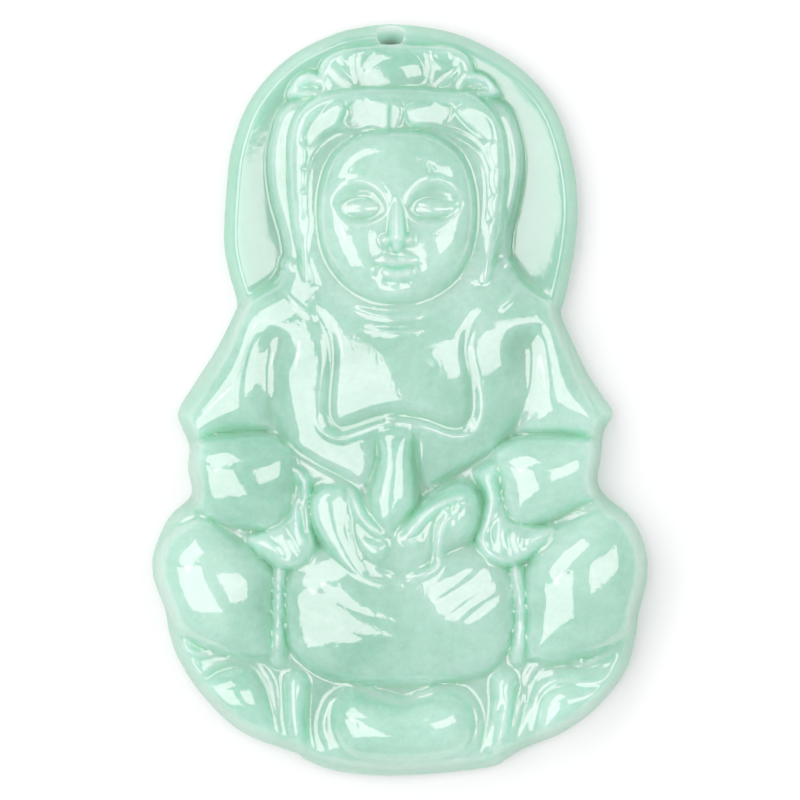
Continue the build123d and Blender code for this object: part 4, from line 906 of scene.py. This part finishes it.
# Each place's name, how much of the tone shows where its share is whole, and the tone: painted shade on the
# halo's ground, in hollows and along the rim, and the drill wall's paler tone, partly its frosted look and
# partly painted light
TONES = [
    ("halo", 0.75, (0.22, 0.44, 0.33, 1)),
    ("hollow", 0.7, (0.34, 0.61, 0.46, 1)),
    ("rim", 0.9, (0.2, 0.46, 0.32, 1)),
    ("drilled", 1.0, (0.58, 0.82, 0.67, 1)),
]


def jade():
    """The stone's material: clouds and fine grains of colour, tones by place that paint shade and light,
    and a rippled polish.
    """
    material = bpy.data.materials.new("pale_green_jade")
    material.use_nodes = True
    nodes, links = material.node_tree.nodes, material.node_tree.links
    shader = nodes["Principled BSDF"]
    place = nodes.new("ShaderNodeTexCoord")

    def noise(scale, detail, roughness, distortion):
        texture = nodes.new("ShaderNodeTexNoise")
        texture.inputs["Scale"].default_value = scale
        texture.inputs["Detail"].default_value = detail
        texture.inputs["Roughness"].default_value = roughness
        texture.inputs["Distortion"].default_value = distortion
        links.new(place.outputs["Object"], texture.inputs["Vector"])
        return texture.outputs["Fac"]

    def mapped(value, low, high, to_low, to_high):
        ramp = nodes.new("ShaderNodeMapRange")
        bounds = {"From Min": low, "From Max": high, "To Min": to_low, "To Max": to_high}
        for name, bound in bounds.items():
            ramp.inputs[name].default_value = bound
        links.new(value, ramp.inputs["Value"])
        return ramp.outputs["Result"]

    def share_of(name):
        where = nodes.new("ShaderNodeAttribute")
        where.attribute_name = name
        return where.outputs["Fac"]

    clouds = nodes.new("ShaderNodeValToRGB")
    for element, (position, colour) in zip(clouds.color_ramp.elements, CLOUDS):
        element.position, element.color = position, colour
    links.new(noise(*CLOUD_NOISE), clouds.inputs["Fac"])
    grained = nodes.new("ShaderNodeVectorMath")
    grained.operation = "SCALE"
    links.new(clouds.outputs["Color"], grained.inputs[0])
    links.new(mapped(noise(*GRAIN_NOISE), *GRAIN_TONES), grained.inputs["Scale"])
    colour = grained.outputs["Vector"]
    for name, most, tone in TONES:
        over = nodes.new("ShaderNodeMix")
        over.data_type = "RGBA"
        over.inputs["B"].default_value = tone
        links.new(mapped(share_of(name), 0, 1, 0, most), over.inputs["Factor"])
        links.new(colour, over.inputs["A"])
        colour = over.outputs["Result"]
    links.new(colour, shader.inputs["Base Color"])
    links.new(mapped(share_of("halo"), 0, 1, POLISHED, DULL), shader.inputs["Roughness"])
    bump = nodes.new("ShaderNodeBump")
    bump.inputs["Strength"].default_value = 0.55
    bump.inputs["Distance"].default_value = 0.0001
    links.new(noise(*RIPPLE_NOISE), bump.inputs["Height"])
    links.new(bump.outputs["Normal"], shader.inputs["Normal"])
    shader.inputs["IOR"].default_value = 1.66
    shader.inputs["Specular IOR Level"].default_value = 0.92
    shader.inputs["Subsurface Weight"].default_value = 1.0
    shader.inputs["Subsurface Radius"].default_value = (0.55, 1.0, 0.75)
    shader.inputs["Subsurface Scale"].default_value = 0.005
    shader.inputs["Subsurface Anisotropy"].default_value = 0.3
    return material


drilled.materials.clear()
drilled.materials.append(jade())
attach(pendant, "root")
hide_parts("carved_pendant")

# The floor: a plain white board that the stone lies on, large enough to fill every view. It is card with a
# matt face, lies at Z = 0 and is no part of the pendant.
FLOOR_SIZE = 1.2
FLOOR_WHITE, FLOOR_ROUGHNESS = 0.9, 0.9
half = FLOOR_SIZE / 2
floor_mesh = bpy.data.meshes.new("floor")
floor_corners = [(-half, -half, 0), (half, -half, 0), (half, half, 0), (-half, half, 0)]
floor_mesh.from_pydata(floor_corners, [], [(0, 1, 2, 3)])
floor = bpy.data.objects.new("floor", floor_mesh)
bpy.context.scene.collection.objects.link(floor)
board = bpy.data.materials.new("white_board")
board.use_nodes = True
card = board.node_tree.nodes["Principled BSDF"]
card.inputs["Base Color"].default_value = (FLOOR_WHITE, FLOOR_WHITE, FLOOR_WHITE, 1)
card.inputs["Roughness"].default_value = FLOOR_ROUGHNESS
floor_mesh.materials.append(board)

# The light: a divided window up to the left, a smaller one to the right, and an even white room round them.
# The stone mirrors both windows. Each is given by its distance, how many degrees it stands to the left of and
# above the line of sight, its width and height, and its power.
ROOM = 0.68
world = bpy.data.worlds.new("white_room")
world.use_nodes = True
world.node_tree.nodes["Background"].inputs["Color"].default_value = (1, 1, 1, 1)
world.node_tree.nodes["Background"].inputs["Strength"].default_value = ROOM
bpy.context.scene.world = world
Window = namedtuple("Window", "name distance left up width height power")
WINDOWS = [
    Window("left_window_upper", 0.6, 29, 27, 0.446, 0.235, 1.12),
    Window("left_window_lower", 0.6, 29, -9, 0.446, 0.46, 2.2),
    Window("right_window", 0.6, -25, 8, 0.26, 0.38, 1.06),
]
for window in WINDOWS:
    light = bpy.data.lights.new(window.name, "AREA")
    light.shape = "RECTANGLE"
    light.size, light.size_y = window.width, window.height
    light.energy = window.power
    lamp = bpy.data.objects.new(window.name, light)
    bpy.context.scene.collection.objects.link(lamp)
    left, up = np.radians(window.left), np.radians(window.up)
    towards = Vector((-np.sin(left) * np.cos(up), np.sin(up), np.cos(left) * np.cos(up)))
    lamp.location = towards * window.distance
    lamp.rotation_euler = towards.to_track_quat("Z", "Y").to_euler()

# The camera: it looks straight down on the carved front, with the head up. The picture's tones run straight
# up to the middle tones and bend over towards white, which is reached at WHITE times a tone of 1, so that
# bright reflections keep the stone's tint.

# How far the camera stands off the floor, how wide its view is at VIEW_HEIGHT over the floor, and its sensor
VIEW_DISTANCE = 0.5
SENSOR_WIDTH = 36
VIEW_WIDTH, VIEW_HEIGHT = 0.0594, 0.003
camera_data = bpy.data.cameras.new("camera")
camera_data.sensor_width = SENSOR_WIDTH
camera_data.lens = SENSOR_WIDTH * (VIEW_DISTANCE - VIEW_HEIGHT) / VIEW_WIDTH
camera = bpy.data.objects.new("camera", camera_data)
camera.location = (0, 0, VIEW_DISTANCE)
bpy.context.scene.collection.objects.link(camera)
bpy.context.scene.camera = camera
WHITE = 1.28
TONE_CURVE = [(0.22, 0.282), (0.45, 0.565), (0.65, 0.755), (0.82, 0.885)]
tones = bpy.context.scene.view_settings
tones.view_transform = "Standard"
tones.use_curve_mapping = True
tones.curve_mapping.white_level = (WHITE, WHITE, WHITE)
for seen, shown in TONE_CURVE:
    tones.curve_mapping.curves[3].points.new(seen, shown)
tones.curve_mapping.update()
